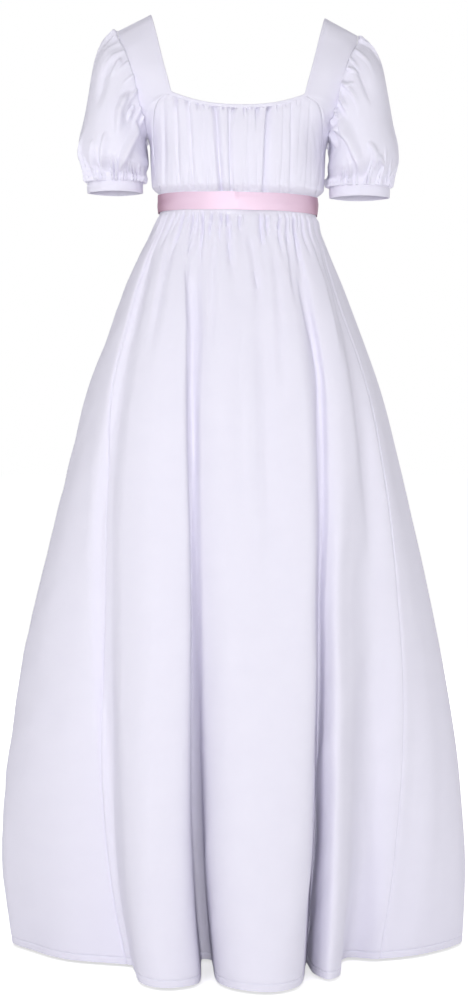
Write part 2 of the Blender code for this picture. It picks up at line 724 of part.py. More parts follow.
def add_skirt(name, first, last, per_line):
    """Build the skirt panel between two seam lines."""
    count = (last - first) * per_line
    columns = spread(first + FOLD_SEAM, last - FOLD_SEAM, count)
    heights = [row.height for row in reversed(SKIRT)]
    heights[-1] = WAIST_SEAM - SEAM_GAP

    def surface(across, up):
        height = heights[0] + (heights[1] - heights[0]) * up
        if 0.0 <= up <= len(heights) - 1:
            low = min(int(up), len(heights) - 2)
            height = heights[low] + (heights[low + 1] - heights[low]) * (up - low)
        elif up > len(heights) - 1:
            height = heights[-1] + (heights[-1] - heights[-2]) * (up - len(heights) + 1)
        return skirt_point(across, height)

    rows = [float(row) for row in range(len(heights))]
    points, normals = surface_grid(surface, columns, rows)
    level = Vector((0.0, 0.0, 1.0))
    normals[0] = flatten(normals[0], level)
    normals[-1] = flatten(normals[-1], level)
    cloth_wall(name, points, normals, CLOTH, "gown_cloth")


def sash_ring(angle, height, half_width, front, back):
    """Return the ribbon's inner line at an angle round the waist, the front at angle 0."""
    power = 2.0 / ROUNDNESS
    x = half_width * math.copysign(abs(math.sin(angle)) ** power, math.sin(angle))
    share = abs(math.cos(angle)) ** power
    y = -front * share if math.cos(angle) > 0.0 else back * share
    return Vector((x, y, height - LEAN * x))


def add_sash():
    """Build the ribbon round the raised waist, on the seam of bodice and skirt."""
    columns = [2.0 * math.pi * index / SASH_ROUND for index in range(SASH_ROUND)]

    def surface(across, up):
        height = SASH_BOTTOM + (SASH_TOP - SASH_BOTTOM) * up
        point = sash_ring(across, height, *SASH_SIZE)
        outward = Vector((point.x, point.y, 0.0)).normalized()
        return point + outward * (LAID_ON + RIBBON)

    points, normals = surface_grid(surface, columns, [0.0, 1.0])
    level = Vector((0.0, 0.0, 1.0))
    normals = [flatten(row, level) for row in normals]
    cloth_wall("sash", points, normals, RIBBON, "sash_ribbon", ring=True)


def neck_path():
    """Return the neck edge's points once round, the front from right to left first."""
    corner = float(CORNER_ROW)
    top = float(len(FRONT_DRAFT) - 1)
    straps = spread(corner, top, BINDING_PER_STRAP)
    path = [middle_point(FRONT_DRAFT, -1, a, corner, FRONT_NECK) for a in spread(-1.0, 1.0, BINDING_ACROSS)]
    path += [side_point(FRONT_DRAFT, -1, 0.0, row, 1.0) for row in straps[1:]]
    path += [side_point(BACK_DRAFT, 1, 0.0, row, 1.0) for row in reversed(straps[:-1])]
    across = spread(1.0, -1.0, BINDING_ACROSS)
    path += [middle_point(BACK_DRAFT, 1, a, corner, BACK_NECK) for a in across[1:]]
    path += [side_point(BACK_DRAFT, 1, 0.0, row, -1.0) for row in straps[1:]]
    path += [side_point(FRONT_DRAFT, -1, 0.0, row, -1.0) for row in reversed(straps[1:-1])]
    return path


def add_neck_binding():
    """Build the narrow binding on the outside of the neck edge."""
    path = neck_path()
    count = len(path)
    points = [[], []]
    normals = [[], []]
    for index, point in enumerate(path):
        forward = (path[(index + 1) % count] - path[index - 1]).normalized()
        crest = max(0.0, 1.0 - abs(point.y) / TORSO[CORNER_ROW].front)
        sideways, endways, upwards = BINDING_FACING
        facing = (sideways * point.x / NECK_HALF, endways * point.y / NECK_HALF, upwards * crest)
        outward = flatten([Vector(facing)], forward)[0]
        down = forward.cross(outward)
        edge = point + outward * (LAID_ON + RIBBON)
        points[0].append(edge + down * BINDING_WIDTH + outward * BINDING_RISE)
        points[1].append(edge)
        normals[0].append(outward)
        normals[1].append(outward)
    cloth_wall("neck_binding", points, normals, RIBBON, "gown_cloth", ring=True)


def main():
    """Clear the scene and build every piece of the gown."""
    for item in list(bpy.data.objects):
        bpy.data.objects.remove(item)
    add_finishes()
    add_bodice_front()
    add_bodice_side("bodice_side_left", 1.0)
    add_bodice_side("bodice_side_right", -1.0)
    add_bodice_back()
    add_neck_binding()
    add_sleeve("sleeve_left", 1.0, CUFF_SETS["left"])
    add_sleeve("sleeve_right", -1.0, CUFF_SETS["right"])
    add_cuff("cuff_left", 1.0, CUFF_SETS["left"])
    add_cuff("cuff_right", -1.0, CUFF_SETS["right"])
    add_sash()
    add_skirt("skirt_front", RIGHT_SEAM_LINE, LEFT_SEAM_LINE, FRONT_PER_LINE)
    add_skirt("skirt_back", LEFT_SEAM_LINE, RIGHT_SEAM_LINE + LINES_AROUND, BACK_PER_LINE)


main()
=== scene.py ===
"""Regency gown in lavender-white cloth with a pink satin sash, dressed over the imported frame.

Every cloth piece is a thin shell on its solid's form: the same sections and drafts, read at a
finer pitch, with the gathers, folds and creases pressed into them. Metres, +Z up, front at -Y.
"""

import logging
import math
from dataclasses import dataclass
from enum import Enum

import bpy
import numpy as np
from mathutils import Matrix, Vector


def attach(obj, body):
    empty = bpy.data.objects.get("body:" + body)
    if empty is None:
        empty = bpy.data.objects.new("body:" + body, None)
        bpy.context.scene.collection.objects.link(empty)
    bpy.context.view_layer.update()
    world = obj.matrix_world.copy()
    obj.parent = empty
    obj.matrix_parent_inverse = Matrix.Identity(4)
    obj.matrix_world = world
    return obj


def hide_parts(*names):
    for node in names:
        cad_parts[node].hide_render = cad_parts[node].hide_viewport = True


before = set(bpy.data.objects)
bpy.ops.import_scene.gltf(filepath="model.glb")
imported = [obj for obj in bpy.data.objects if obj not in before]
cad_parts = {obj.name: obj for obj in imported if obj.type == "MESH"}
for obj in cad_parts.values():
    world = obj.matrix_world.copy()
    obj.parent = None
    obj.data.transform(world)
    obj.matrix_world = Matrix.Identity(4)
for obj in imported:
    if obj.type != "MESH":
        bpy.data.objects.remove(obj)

LOG = logging.getLogger("gown")
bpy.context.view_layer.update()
BODY = "root"

# Levels
WAIST_SEAM = -0.2880
SASH_TOP = -0.2740
SASH_BOTTOM = -0.3025
HIP = -0.4770
KNEE = -0.9005
HEM = -1.4220
# How far the gown hangs down for each metre to its left, and the level at which that ends
LEAN = 0.020
LEAN_END = -0.60
# The cloth's thickness, the gap between two pieces at a seam, and the angle that stays sharp
SHELL = 0.0011
SEAM_INSET = 0.0002
SHARP_DEGREES = 55.0
# How far the stitches stand off the cloth
STITCH_LIFT = 0.0002

# Torso: the power that rounds its section, and the slope outwards from the neck
ROUNDNESS = 2.2
NECK_HALF = 0.133
SHOULDER_SLOPE = 0.52
SLOPE_START = -0.075
TORSO_COLUMNS = ("height", "half_width", "front", "back")
TORSO = (
    (-0.2880, 0.1195, 0.0955, 0.0920),
    (-0.2740, 0.1205, 0.0965, 0.0930),
    (-0.2620, 0.1315, 0.1060, 0.0985),
    (-0.2400, 0.1330, 0.1095, 0.1010),
    (-0.2100, 0.1335, 0.1115, 0.1030),
    (-0.1900, 0.1375, 0.1110, 0.1040),
    (-0.1660, 0.1500, 0.1065, 0.1040),
    (-0.1480, 0.1660, 0.1025, 0.1030),
    (-0.1330, 0.1745, 0.0975, 0.1010),
    (-0.1050, 0.1950, 0.0850, 0.0950),
    (-0.0780, 0.2150, 0.0710, 0.0830),
    (-0.0500, 0.2180, 0.0540, 0.0680),
    (-0.0250, 0.2190, 0.0360, 0.0470),
    (-0.0075, 0.2200, 0.0180, 0.0240),
    (0.0016, 0.2200, 0.0000, 0.0000),
)

# Half of the front and of the back: seam or neck edge, and side seam or armhole
DRAFT_COLUMNS = ("inner_x", "inner_height", "outer_x", "outer_height")
FRONT_DRAFT = (
    (0.1150, -0.2880, 0.1195, -0.2880),
    (0.1170, -0.2740, 0.1205, -0.2740),
    (0.1225, -0.2550, 0.1320, -0.2550),
    (0.1265, -0.2320, 0.1332, -0.2320),
    (0.1285, -0.2050, 0.1345, -0.2120),
    (0.1288, -0.1780, 0.1375, -0.1960),
    (0.1260, -0.1540, 0.1395, -0.1780),
    (0.1200, -0.1390, 0.1440, -0.1570),
    (0.1110, -0.1315, 0.1490, -0.1380),
    (0.1010, -0.1255, 0.1520, -0.1230),
    (0.1050, -0.1080, 0.1555, -0.1040),
    (0.1110, -0.0860, 0.1630, -0.0800),
    (0.1175, -0.0600, 0.1710, -0.0540),
    (0.1240, -0.0330, 0.1785, -0.0280),
    (0.1295, -0.0120, 0.1820, -0.0100),
    (0.1330, 0.0016, 0.1835, 0.0016),
)
BACK_DRAFT = (
    (0.0900, -0.2880, 0.1195, -0.2880),
    (0.0900, -0.2740, 0.1205, -0.2740),
    (0.0940, -0.2550, 0.1320, -0.2550),
    (0.0960, -0.2320, 0.1332, -0.2320),
    (0.0970, -0.2050, 0.1345, -0.2120),
    (0.0980, -0.1850, 0.1375, -0.1960),
    (0.0990, -0.1670, 0.1400, -0.1780),
    (0.1000, -0.1540, 0.1450, -0.1570),
    (0.1010, -0.1440, 0.1500, -0.1380),
    (0.1030, -0.1340, 0.1530, -0.1230),
    (0.1090, -0.1130, 0.1570, -0.1040),
    (0.1150, -0.0880, 0.1640, -0.0800),
    (0.1200, -0.0600, 0.1720, -0.0540),
    (0.1260, -0.0330, 0.1790, -0.0280),
    (0.1300, -0.0120, 0.1825, -0.0100),
    (0.1330, 0.0016, 0.1835, 0.0016),
)
# Rows of the underarm and of the neck's corners, the neck's lowest levels, and its curve
UNDERARM_ROW = 5
CORNER_ROW = 9
FRONT_NECK = -0.1457
BACK_NECK = -0.1500
NECK_CURVE = 2.2

# Gathers of the front: x at the neck and at the waist, depth, half width, and the shares of
# the height at which each one ends above and below
GATHERS = (
    (-0.1130, -0.1125, 0.0020, 0.0020, 0.85, 0.00),
    (-0.0970, -0.0870, 0.0026, 0.0020, 0.95, 0.00),
    (-0.0790, -0.0660, 0.0030, 0.0022, 0.95, 0.00),
    (-0.0560, -0.0465, 0.0012, 0.0030, 0.98, 0.25),
    (-0.0400, -0.0240, 0.0058, 0.0030, 1.10, 0.00),
    (-0.0150, -0.0110, 0.0034, 0.0020, 1.10, 0.02),
    (-0.0090, -0.0100, 0.0046, 0.0022, 1.10, 0.76),
    (0.0200, 0.0090, 0.0012, 0.0030, 0.95, 0.05),
    (0.0290, 0.0250, 0.0050, 0.0024, 1.10, 0.74),
    (0.0470, 0.0370, 0.0060, 0.0030, 1.10, 0.00),
    (0.0690, 0.0630, 0.0012, 0.0018, 0.98, 0.10),
    (0.0810, 0.0780, 0.0034, 0.0020, 0.98, 0.00),
    (0.0970, 0.0860, 0.0010, 0.0017, 0.80, 0.00),
    (0.1115, 0.0990, 0.0016, 0.0020, 0.90, 0.00),
)

# Sleeves: the ridge over the arm and the line under it, from the armhole to the cuff
SLEEVE_COLUMNS = ("top_x", "top_z", "under_x", "under_z", "half_depth")
SLEEVE = (
    (0.1850, -0.0266, 0.1362, -0.1985, 0.0560),
    (0.1925, -0.0320, 0.1378, -0.2035, 0.0600),
    (0.2050, -0.0440, 0.1384, -0.2080, 0.0650),
    (0.2160, -0.0680, 0.1388, -0.2130, 0.0710),
    (0.2230, -0.0950, 0.1390, -0.2180, 0.0745),
    (0.2290, -0.1270, 0.1392, -0.2230, 0.0765),
    (0.2350, -0.1600, 0.1395, -0.2280, 0.0770),
    (0.2425, -0.1920, 0.1398, -0.2330, 0.0750),
    (0.2450, -0.2180, 0.1402, -0.2390, 0.0700),
    (0.2425, -0.2380, 0.1408, -0.2450, 0.0600),
    (0.2360, -0.2510, 0.1415, -0.2525, 0.0490),
)
CUFF_TOP = -0.2550
CUFF_HEIGHT = 0.0170
# The sleeve's gap at the armhole, and the direction of that gap on the left
ARMHOLE_CLEAR = 0.0007
ARMHOLE_AXIS = np.array((0.965, 0.0, -0.263))

# Skirt outline at each level
SKIRT_COLUMNS = ("height", "half_width", "middle", "front")
SKIRT = (
    (-0.2880, 0.1195, 0.0000, 0.0955),
    (-0.3025, 0.1200, 0.0000, 0.0965),
    (-0.3110, 0.1240, 0.0000, 0.1000),
    (-0.3270, 0.1290, -0.0020, 0.1045),
    (-0.3616, 0.1450, -0.0040, 0.1150),
    (-0.4080, 0.1650, -0.0052, 0.1310),
    (-0.4770, 0.1912, -0.0055, 0.1540),
    (-0.5700, 0.2235, -0.0066, 0.1790),
    (-0.6800, 0.2525, -0.0070, 0.2030),
    (-0.7900, 0.2790, -0.0075, 0.2240),
    (-0.9005, 0.3045, -0.0088, 0.2430),
    (-1.0300, 0.3300, -0.0091, 0.2650),
    (-1.1699, 0.3495, -0.0088, 0.2880),
    (-1.3000, 0.3565, -0.0060, 0.3090),
    (-1.4220, 0.3480, -0.0010, 0.3280),
)
# Fold lines of the front: place at the waist, then place and reach at hip, knee and hem, as
# shares of the outline's half width and front
LINE_COLUMNS = ("place", "reach")
FOLDS = (
    (-1.000, -1.000, 0.00, -1.000, 0.00, -1.000, 0.00),
    (-0.985, -0.964, 0.29, -0.914, 0.35, -0.905, 0.20),
    (-0.955, -0.917, 0.49, -0.759, 0.58, -0.716, 0.40),
    (-0.915, -0.856, 0.63, -0.637, 0.68, -0.475, 0.50),
    (-0.839, -0.791, 0.70, -0.590, 0.72, -0.440, 0.54),
    (-0.751, -0.685, 0.83, -0.515, 0.84, -0.405, 0.84),
    (-0.653, -0.527, 0.95, -0.378, 0.96, -0.292, 0.95),
    (-0.579, -0.368, 0.98, -0.213, 0.95, -0.158, 0.85),
    (-0.520, -0.335, 0.91, -0.200, 0.79, -0.152, 0.40),
    (-0.480, -0.290, 0.92, -0.166, 0.82, -0.110, 0.42),
    (-0.430, -0.235, 0.97, -0.134, 0.90, -0.086, 0.82),
    (-0.288, -0.077, 1.02, -0.018, 1.00, 0.010, 0.98),
    (0.026, 0.170, 1.00, 0.143, 1.01, 0.159, 1.02),
    (0.461, 0.464, 0.99, 0.372, 0.94, 0.265, 0.88),
    (0.644, 0.580, 0.86, 0.414, 0.74, 0.292, 0.46),
    (0.743, 0.650, 0.90, 0.450, 0.82, 0.318, 0.66),
    (0.818, 0.731, 0.87, 0.503, 0.88, 0.374, 0.79),
    (0.869, 0.811, 0.79, 0.568, 0.78, 0.427, 0.70),
    (0.914, 0.878, 0.66, 0.661, 0.61, 0.465, 0.38),
    (0.953, 0.931, 0.52, 0.822, 0.50, 0.618, 0.39),
    (0.981, 0.967, 0.32, 0.923, 0.31, 0.835, 0.26),
    (1.000, 1.000, 0.00, 1.000, 0.00, 1.000, 0.00),
)
# The fold lines that carry the seams
RIGHT_SEAM_LINE = 3
LEFT_SEAM_LINE = 19
# The back's reach and the depth of its folds, as shares of the front's
BACK_REACH = 0.97
BACK_FOLD = 0.75
LINES_AROUND = 2 * (len(FOLDS) - 1)
# Gathers below the sash: their top, and on the front their places as shares of the waist's
# half width, depths, half widths and lengths
WAIST_GATHER_TOP = -0.3040
TICKS = (
    (-0.930, 0.0029, 0.0016, 0.045),
    (-0.877, 0.0042, 0.0016, 0.070),
    (-0.800, 0.0059, 0.0018, 0.045),
    (-0.745, 0.0033, 0.0015, 0.030),
    (-0.690, 0.0065, 0.0018, 0.075),
    (-0.620, 0.0033, 0.0015, 0.028),
    (-0.570, 0.0055, 0.0018, 0.050),
    (-0.500, 0.0029, 0.0015, 0.030),
    (-0.440, 0.0074, 0.0020, 0.070),
    (-0.346, 0.0059, 0.0016, 0.045),
    (-0.280, 0.0033, 0.0015, 0.026),
    (-0.220, 0.0061, 0.0018, 0.052),
    (-0.120, 0.0084, 0.0020, 0.085),
    (-0.050, 0.0029, 0.0015, 0.026),
    (0.000, 0.0059, 0.0018, 0.050),
    (0.060, 0.0033, 0.0015, 0.030),
    (0.130, 0.0042, 0.0015, 0.032),
    (0.235, 0.0078, 0.0020, 0.070),
    (0.310, 0.0052, 0.0016, 0.044),
    (0.400, 0.0042, 0.0015, 0.034),
    (0.490, 0.0072, 0.0018, 0.060),
    (0.580, 0.0055, 0.0016, 0.044),
    (0.635, 0.0033, 0.0015, 0.028),
    (0.680, 0.0074, 0.0018, 0.080),
    (0.740, 0.0033, 0.0015, 0.030),
    (0.790, 0.0055, 0.0018, 0.050),
    (0.864, 0.0046, 0.0016, 0.046),
    (0.930, 0.0033, 0.0015, 0.036),
)
# The hem's stitched line, the rows of points that carry it, and the first row above them,
# all up from the hem
HEM_STITCH = 0.010
HEM_ROWS = (0.0, 0.003, 0.006, 0.0080, 0.0090, 0.0100, 0.0110, 0.0120, 0.014, 0.018)
HEM_BAND = 0.026
# The level between the skirt's lower and upper rows of points
DENSE_BELOW = -0.42
# Columns of points in from a seam, the first one past them, and the back's tuck under the
# front, in fold lines
SEAM_COLUMNS = (0.0, 0.012, 0.024, 0.040)
SEAM_BAND = 0.070
SEAM_TUCK = 0.06
# How far the tuck steps inwards
SEAM_STEP = 0.0015
# Widths of a crease's steep and easy walls, as shares of its half width
STEEP_WALL = 0.62
EASY_WALL = 1.55
# Shares of a crease's length over which it starts and ends, and by which its ends narrow
CREASE_START = 0.28
CREASE_END = 0.40
CREASE_TAPER = 0.25
# How far from the middle plane a crease on one face reaches its depth
FACE_TURN = 0.012
# Weave: scale of the slubs along and across the thread, and of the soft mottling
SLUB_SCALE = (900.0, 60.0, 60.0)
SLUB_SHARE = 0.8
MOTTLE_SCALE = 26.0
# Gains of the mottling and of the painted shade where the cloth turns away from view, and the weave's height
MOTTLE_GAIN = 1.4
EDGE_SHADE_GAIN = 1.45
RELIEF_HEIGHT = 0.0002
SHEEN_ROUGHNESS = 0.4


class Side(Enum):
    """The face of the gown that a piece or crease lies on."""

    FRONT = -1.0
    BACK = 1.0


def ease(start: float, end: float, value: np.ndarray) -> np.ndarray:
    """Rise smoothly from 0 to 1.

    Args:
        start: where the rise starts, above or below the end.
        end: where it is complete.
        value: where to read it.

    Returns:
        The shares, shaped as value.
    """
    share = np.clip((np.asarray(value, dtype=float) - start) / (end - start), 0.0, 1.0)
    return share * share * (3.0 - 2.0 * share)


def bell(gap: np.ndarray, width: np.ndarray) -> np.ndarray:
    """Return a trough's share of its depth at gaps from its middle."""
    return np.exp(-((gap / width) ** 2))


def cubic(
    start: np.ndarray, end: np.ndarray, start_slope: np.ndarray, end_slope: np.ndarray, share: np.ndarray
) -> np.ndarray:
    """Run smoothly between two values.

    Args:
        start: the first value.
        end: the last value.
        start_slope: the slope at the first value.
        end_slope: the slope at the last value.
        share: how far between them, from 0 to 1.

    Returns:
        The values at the shares.
    """
    t2 = share * share
    t3 = t2 * share
    level = (2 * t3 - 3 * t2 + 1) * start + (3 * t2 - 2 * t3) * end
    return level + (t3 - 2 * t2 + share) * start_slope + (t3 - t2) * end_slope


class Sections:
    """A table of sections, read smoothly at fractional rows."""

    SAMPLES = 1500

    def __init__(self, rows: tuple, columns: tuple) -> None:
        """Keep the rows and work out the gentle slopes between them.

        Args:
            rows: the sections in order.
            columns: the names of their values.
        """
        self.columns = columns
        self.values = np.array(rows, dtype=float)
        steps = np.diff(self.values, axis=0)
        before = np.vstack([steps[:1], steps])
        after = np.vstack([steps, steps[-1:]])
        product = before * after
        total = np.where(np.abs(before + after) < 1e-12, 1.0, before + after)
        self.slopes = np.where(product > 0.0, 2.0 * product / total, 0.0)
        self.last = len(rows) - 1

    def value(self, name: str, place: np.ndarray) -> np.ndarray:
        """Read one column.

        Args:
            name: the column's name.
            place: fractional row numbers.

        Returns:
            The values, shaped as place.
        """
        column = self.columns.index(name)
        place = np.asarray(place, dtype=float)
        low = np.clip(np.floor(place).astype(int), 0, self.last - 1)
        ends = self.values[low, column], self.values[low + 1, column]
        slopes = self.slopes[low, column], self.slopes[low + 1, column]
        return cubic(*ends, *slopes, place - low)

    def place(self, name: str, value: np.ndarray) -> np.ndarray:
        """Find where a rising or falling column takes the values.

        Args:
            name: the column's name.
            value: the values to find.

        Returns:
            Fractional row numbers, shaped as value.
        """
        dense = np.linspace(0.0, self.last, self.SAMPLES)
        line = self.value(name, dense)
        if line[-1] < line[0]:
            dense = dense[::-1]
            line = line[::-1]
        return np.interp(np.asarray(value, dtype=float), np.maximum.accumulate(line), dense)


class Ripple:
    """Smooth, repeatable unevenness over two directions of a cloth."""

    SIZE = 64

    def __init__(self, seed: int) -> None:
        """Draw the lattice of heights."""
        self.lattice = np.random.default_rng(seed).uniform(-1.0, 1.0, (self.SIZE, self.SIZE))

    def at(self, u: np.ndarray, v: np.ndarray) -> np.ndarray:
        """Read the unevenness.

        Args:
            u: places in the first direction, in waves.
            v: places in the second direction, in waves.

        Returns:
            Heights from -1 to 1, shaped as u and v together.
        """
        u, v = np.broadcast_arrays(np.asarray(u, float), np.asarray(v, float))
        i = np.floor(u).astype(int)
        j = np.floor(v).astype(int)
        s = ease(0.0, 1.0, u - i)
        t = ease(0.0, 1.0, v - j)
        left = i % self.SIZE
        right = (i + 1) % self.SIZE
        low, high = (
            self.lattice[left, row % self.SIZE] * (1 - s) + self.lattice[right, row % self.SIZE] * s
            for row in (j, j + 1)
        )
        return low * (1 - t) + high * t


@dataclass(frozen=True)
class Wave:
    """Soft unevenness: its depth, its waves in two directions, and how far each one slants."""

    depth: float
    across: float
    along: float
    slant_across: float = 0.0
    slant_along: float = 0.0

    def over(self, u: np.ndarray, v: np.ndarray, seed: int) -> np.ndarray:
        """Read the unevenness.

        Args:
            u: places across the cloth.
            v: places along it.
            seed: the seed of its lattice.

        Returns:
            The depths, shaped as u and v together.
        """
        across = u * self.across + v * self.slant_across
        along = v * self.along + u * self.slant_along
        return Ripple(seed).at(across, along) * self.depth


def leaned(points: np.ndarray) -> np.ndarray:
    """Let the cloth down on the gown's left, less and less towards the knees.

    Args:
        points: the level points.

    Returns:
        The points as they hang.
    """
    lean = LEAN * ease(LEAN_END, WAIST_SEAM, points[..., 2])
    points = points.copy()
    points[..., 2] -= lean * points[..., 0]
    return points


def unit(vectors: np.ndarray) -> np.ndarray:
    """Return vectors of length one."""
    return vectors / np.maximum(np.linalg.norm(vectors, axis=-1, keepdims=True), 1e-9)


@dataclass(frozen=True)
class Crease:
    """A soft trough (depth above 0) or ridge (below 0) along a path seen from the front."""

    path: tuple
    depth: float
    half_width: float
    side: Side = Side.FRONT

    def share(self, points: np.ndarray) -> np.ndarray:
        """Say how much of the crease's depth each point takes.

        Args:
            points: the cloth's points.

        Returns:
            The shares, one for each point.
        """
        best = np.full(points.shape[:-1], np.inf)
        along = np.zeros(points.shape[:-1])
        side = np.zeros(points.shape[:-1])
        route = np.array(self.path)
        runs = np.linalg.norm(np.diff(route, axis=0), axis=1)
        total = runs.sum()
        done = 0.0
        flat = points[..., (0, 2)]
        for start, end, run in zip(route[:-1], route[1:], runs):
            t = np.clip(((flat - start) @ (end - start)) / (run * run), 0.0, 1.0)
            away = flat - (start + t[..., None] * (end - start))
            gap = np.linalg.norm(away, axis=-1)
            nearer = gap < best
            turned = (end[0] - start[0]) * away[..., 1] - (end[1] - start[1]) * away[..., 0]
            side = np.where(nearer, turned, side)
            along = np.where(nearer, (done + t * run) / total, along)
            best = np.where(nearer, gap, best)
            done += run
        fade = ease(0.0, CREASE_START, along) * ease(0.0, CREASE_END, 1.0 - along)
        width = self.half_width * (1.0 - CREASE_TAPER + CREASE_TAPER * fade)
        width = width * np.where(side < 0.0, STEEP_WALL, EASY_WALL)
        return bell(best, width) * fade * ease(0.0, FACE_TURN, self.side.value * points[..., 1])


def pressed(points: np.ndarray, normals: np.ndarray, creases: tuple) -> np.ndarray:
    """Press creases into cloth.

    Args:
        points: the cloth's points.
        normals: its outward directions, shorter where it gives less.
        creases: the creases.

    Returns:
        The creased points.
    """
    depth = np.zeros(points.shape[:-1])
    for crease in creases:
        depth += crease.depth * crease.share(points)
    return points - normals * depth[..., None]


# Soft folds of the skirt, front then back, as paths in x and z
SKIRT_CREASES = (
    Crease(((-0.106, -0.310), (-0.142, -0.400), (-0.166, -0.500), (-0.185, -0.600), (-0.200, -0.700),
            (-0.207, -0.784), (-0.205, -0.909), (-0.202, -1.007), (-0.193, -1.107), (-0.183, -1.231),
            (-0.172, -1.390)), 0.0100, 0.0130),
    Crease(((-0.086, -0.330), (-0.078, -0.385), (-0.073, -0.440), (-0.071, -0.520), (-0.068, -0.640),
            (-0.066, -0.800)), 0.0062, 0.0046),
    Crease(((-0.058, -0.330), (-0.062, -0.440), (-0.058, -0.620)), 0.0040, 0.0110),
    Crease(((0.084, -0.360), (0.096, -0.439), (0.110, -0.499), (0.1185, -0.557), (0.1195, -0.674),
            (0.1190, -0.790)), 0.0056, 0.0042),
    Crease(((0.030, -0.400), (0.036, -0.520), (0.040, -0.700), (0.044, -0.900)), 0.0040, 0.0130),
    Crease(((0.012, -0.322), (0.024, -0.380), (0.030, -0.460)), 0.0060, 0.0050),
    Crease(((0.012, -0.440), (0.014, -0.600), (0.016, -0.800)), -0.0026, 0.0090),
    Crease(((0.135, -0.350), (0.160, -0.460), (0.177, -0.560), (0.190, -0.680), (0.200, -0.860)),
           0.0080, 0.0130),
    Crease(((0.108, -0.330), (0.134, -0.400), (0.150, -0.470), (0.158, -0.540)), 0.0040, 0.0050),
    Crease(((-0.060, -0.310), (-0.068, -0.350), (-0.078, -0.385)), 0.0040, 0.0040),
    Crease(((-0.128, -0.350), (-0.152, -0.430), (-0.172, -0.520)), 0.0046, 0.0060),
    Crease(((-0.100, -0.322), (-0.112, -0.390), (-0.124, -0.460), (-0.134, -0.540)), 0.0050, 0.0055),
    Crease(((-0.034, -0.318), (-0.040, -0.400), (-0.042, -0.520)), 0.0046, 0.0050),
    Crease(((0.046, -0.318), (0.056, -0.400), (0.062, -0.500), (0.066, -0.600)), 0.0048, 0.0055),
    Crease(((0.068, -0.318), (0.078, -0.370), (0.086, -0.450)), 0.0046, 0.0042),
    Crease(((0.122, -0.340), (0.150, -0.420), (0.170, -0.500)), 0.0046, 0.0052),
    Crease(((0.106, -0.310), (0.142, -0.420), (0.172, -0.560), (0.190, -0.820)), 0.0090, 0.0130, Side.BACK),
    Crease(((-0.012, -0.320), (-0.030, -0.420), (-0.036, -0.760)), 0.0050, 0.0120, Side.BACK),
    Crease(((-0.120, -0.330), (-0.160, -0.460), (-0.185, -0.700)), 0.0070, 0.0130, Side.BACK),
    Crease(((0.040, -0.330), (0.052, -0.440), (0.060, -0.700)), 0.0040, 0.0110, Side.BACK),
    Crease(((0.078, -0.330), (0.086, -0.440), (0.090, -0.620)), 0.0044, 0.0050, Side.BACK),
    Crease(((-0.080, -0.330), (-0.096, -0.450), (-0.104, -0.600)), 0.0044, 0.0050, Side.BACK),
)

# Creases of the two sleeves, as paths in x and z on the front, with like ones behind
LEFT_SLEEVE_CREASES = (
    Crease(((0.150, -0.150), (0.160, -0.178), (0.168, -0.198), (0.180, -0.228), (0.187, -0.252)),
           0.0118, 0.0047),
    Crease(((0.144, -0.170), (0.156, -0.184), (0.168, -0.200)), 0.0079, 0.0031),
    Crease(((0.155, -0.110), (0.166, -0.112), (0.176, -0.108)), 0.0047, 0.0023),
    Crease(((0.150, -0.128), (0.158, -0.138), (0.163, -0.152)), 0.0052, 0.0022),
    Crease(((0.146, -0.144), (0.152, -0.152), (0.156, -0.166)), 0.0052, 0.0020),
    Crease(((0.138, -0.176), (0.146, -0.188), (0.150, -0.206)), 0.0055, 0.0022),
    Crease(((0.207, -0.216), (0.214, -0.224), (0.223, -0.232)), 0.0060, 0.0031),
    Crease(((0.194, -0.196), (0.204, -0.215), (0.208, -0.240)), 0.0068, 0.0035),
    Crease(((0.170, -0.060), (0.186, -0.100), (0.204, -0.150)), -0.0060, 0.0078),
    Crease(((0.155, -0.125), (0.168, -0.170), (0.178, -0.225)), 0.0099, 0.0047, Side.BACK),
    Crease(((0.205, -0.150), (0.200, -0.190), (0.196, -0.235)), 0.0079, 0.0043, Side.BACK),
    Crease(((0.170, -0.080), (0.190, -0.110), (0.208, -0.150)), 0.0060, 0.0055, Side.BACK),
)
RIGHT_SLEEVE_CREASES = (
    Crease(((-0.152, -0.164), (-0.162, -0.190), (-0.174, -0.220), (-0.184, -0.246)), 0.0126, 0.0048),
    Crease(((-0.162, -0.118), (-0.174, -0.134), (-0.180, -0.152), (-0.182, -0.192)), 0.0099, 0.0047),
    Crease(((-0.176, -0.068), (-0.186, -0.086), (-0.194, -0.104)), 0.0052, 0.0027),
    Crease(((-0.156, -0.140), (-0.164, -0.152), (-0.168, -0.170)), 0.0055, 0.0023),
    Crease(((-0.198, -0.180), (-0.204, -0.210), (-0.206, -0.244)), 0.0068, 0.0036),
    Crease(((-0.218, -0.190), (-0.222, -0.214), (-0.220, -0.242)), 0.0052, 0.0031),
    Crease(((-0.190, -0.060), (-0.204, -0.100), (-0.212, -0.150)), -0.0052, 0.0070),
    Crease(((-0.158, -0.120), (-0.170, -0.165), (-0.180, -0.225)), 0.0099, 0.0047, Side.BACK),
    Crease(((-0.206, -0.140), (-0.204, -0.190), (-0.198, -0.238)), 0.0079, 0.0043, Side.BACK),
    Crease(((-0.176, -0.075), (-0.192, -0.110), (-0.206, -0.150)), 0.0060, 0.0055, Side.BACK),
)


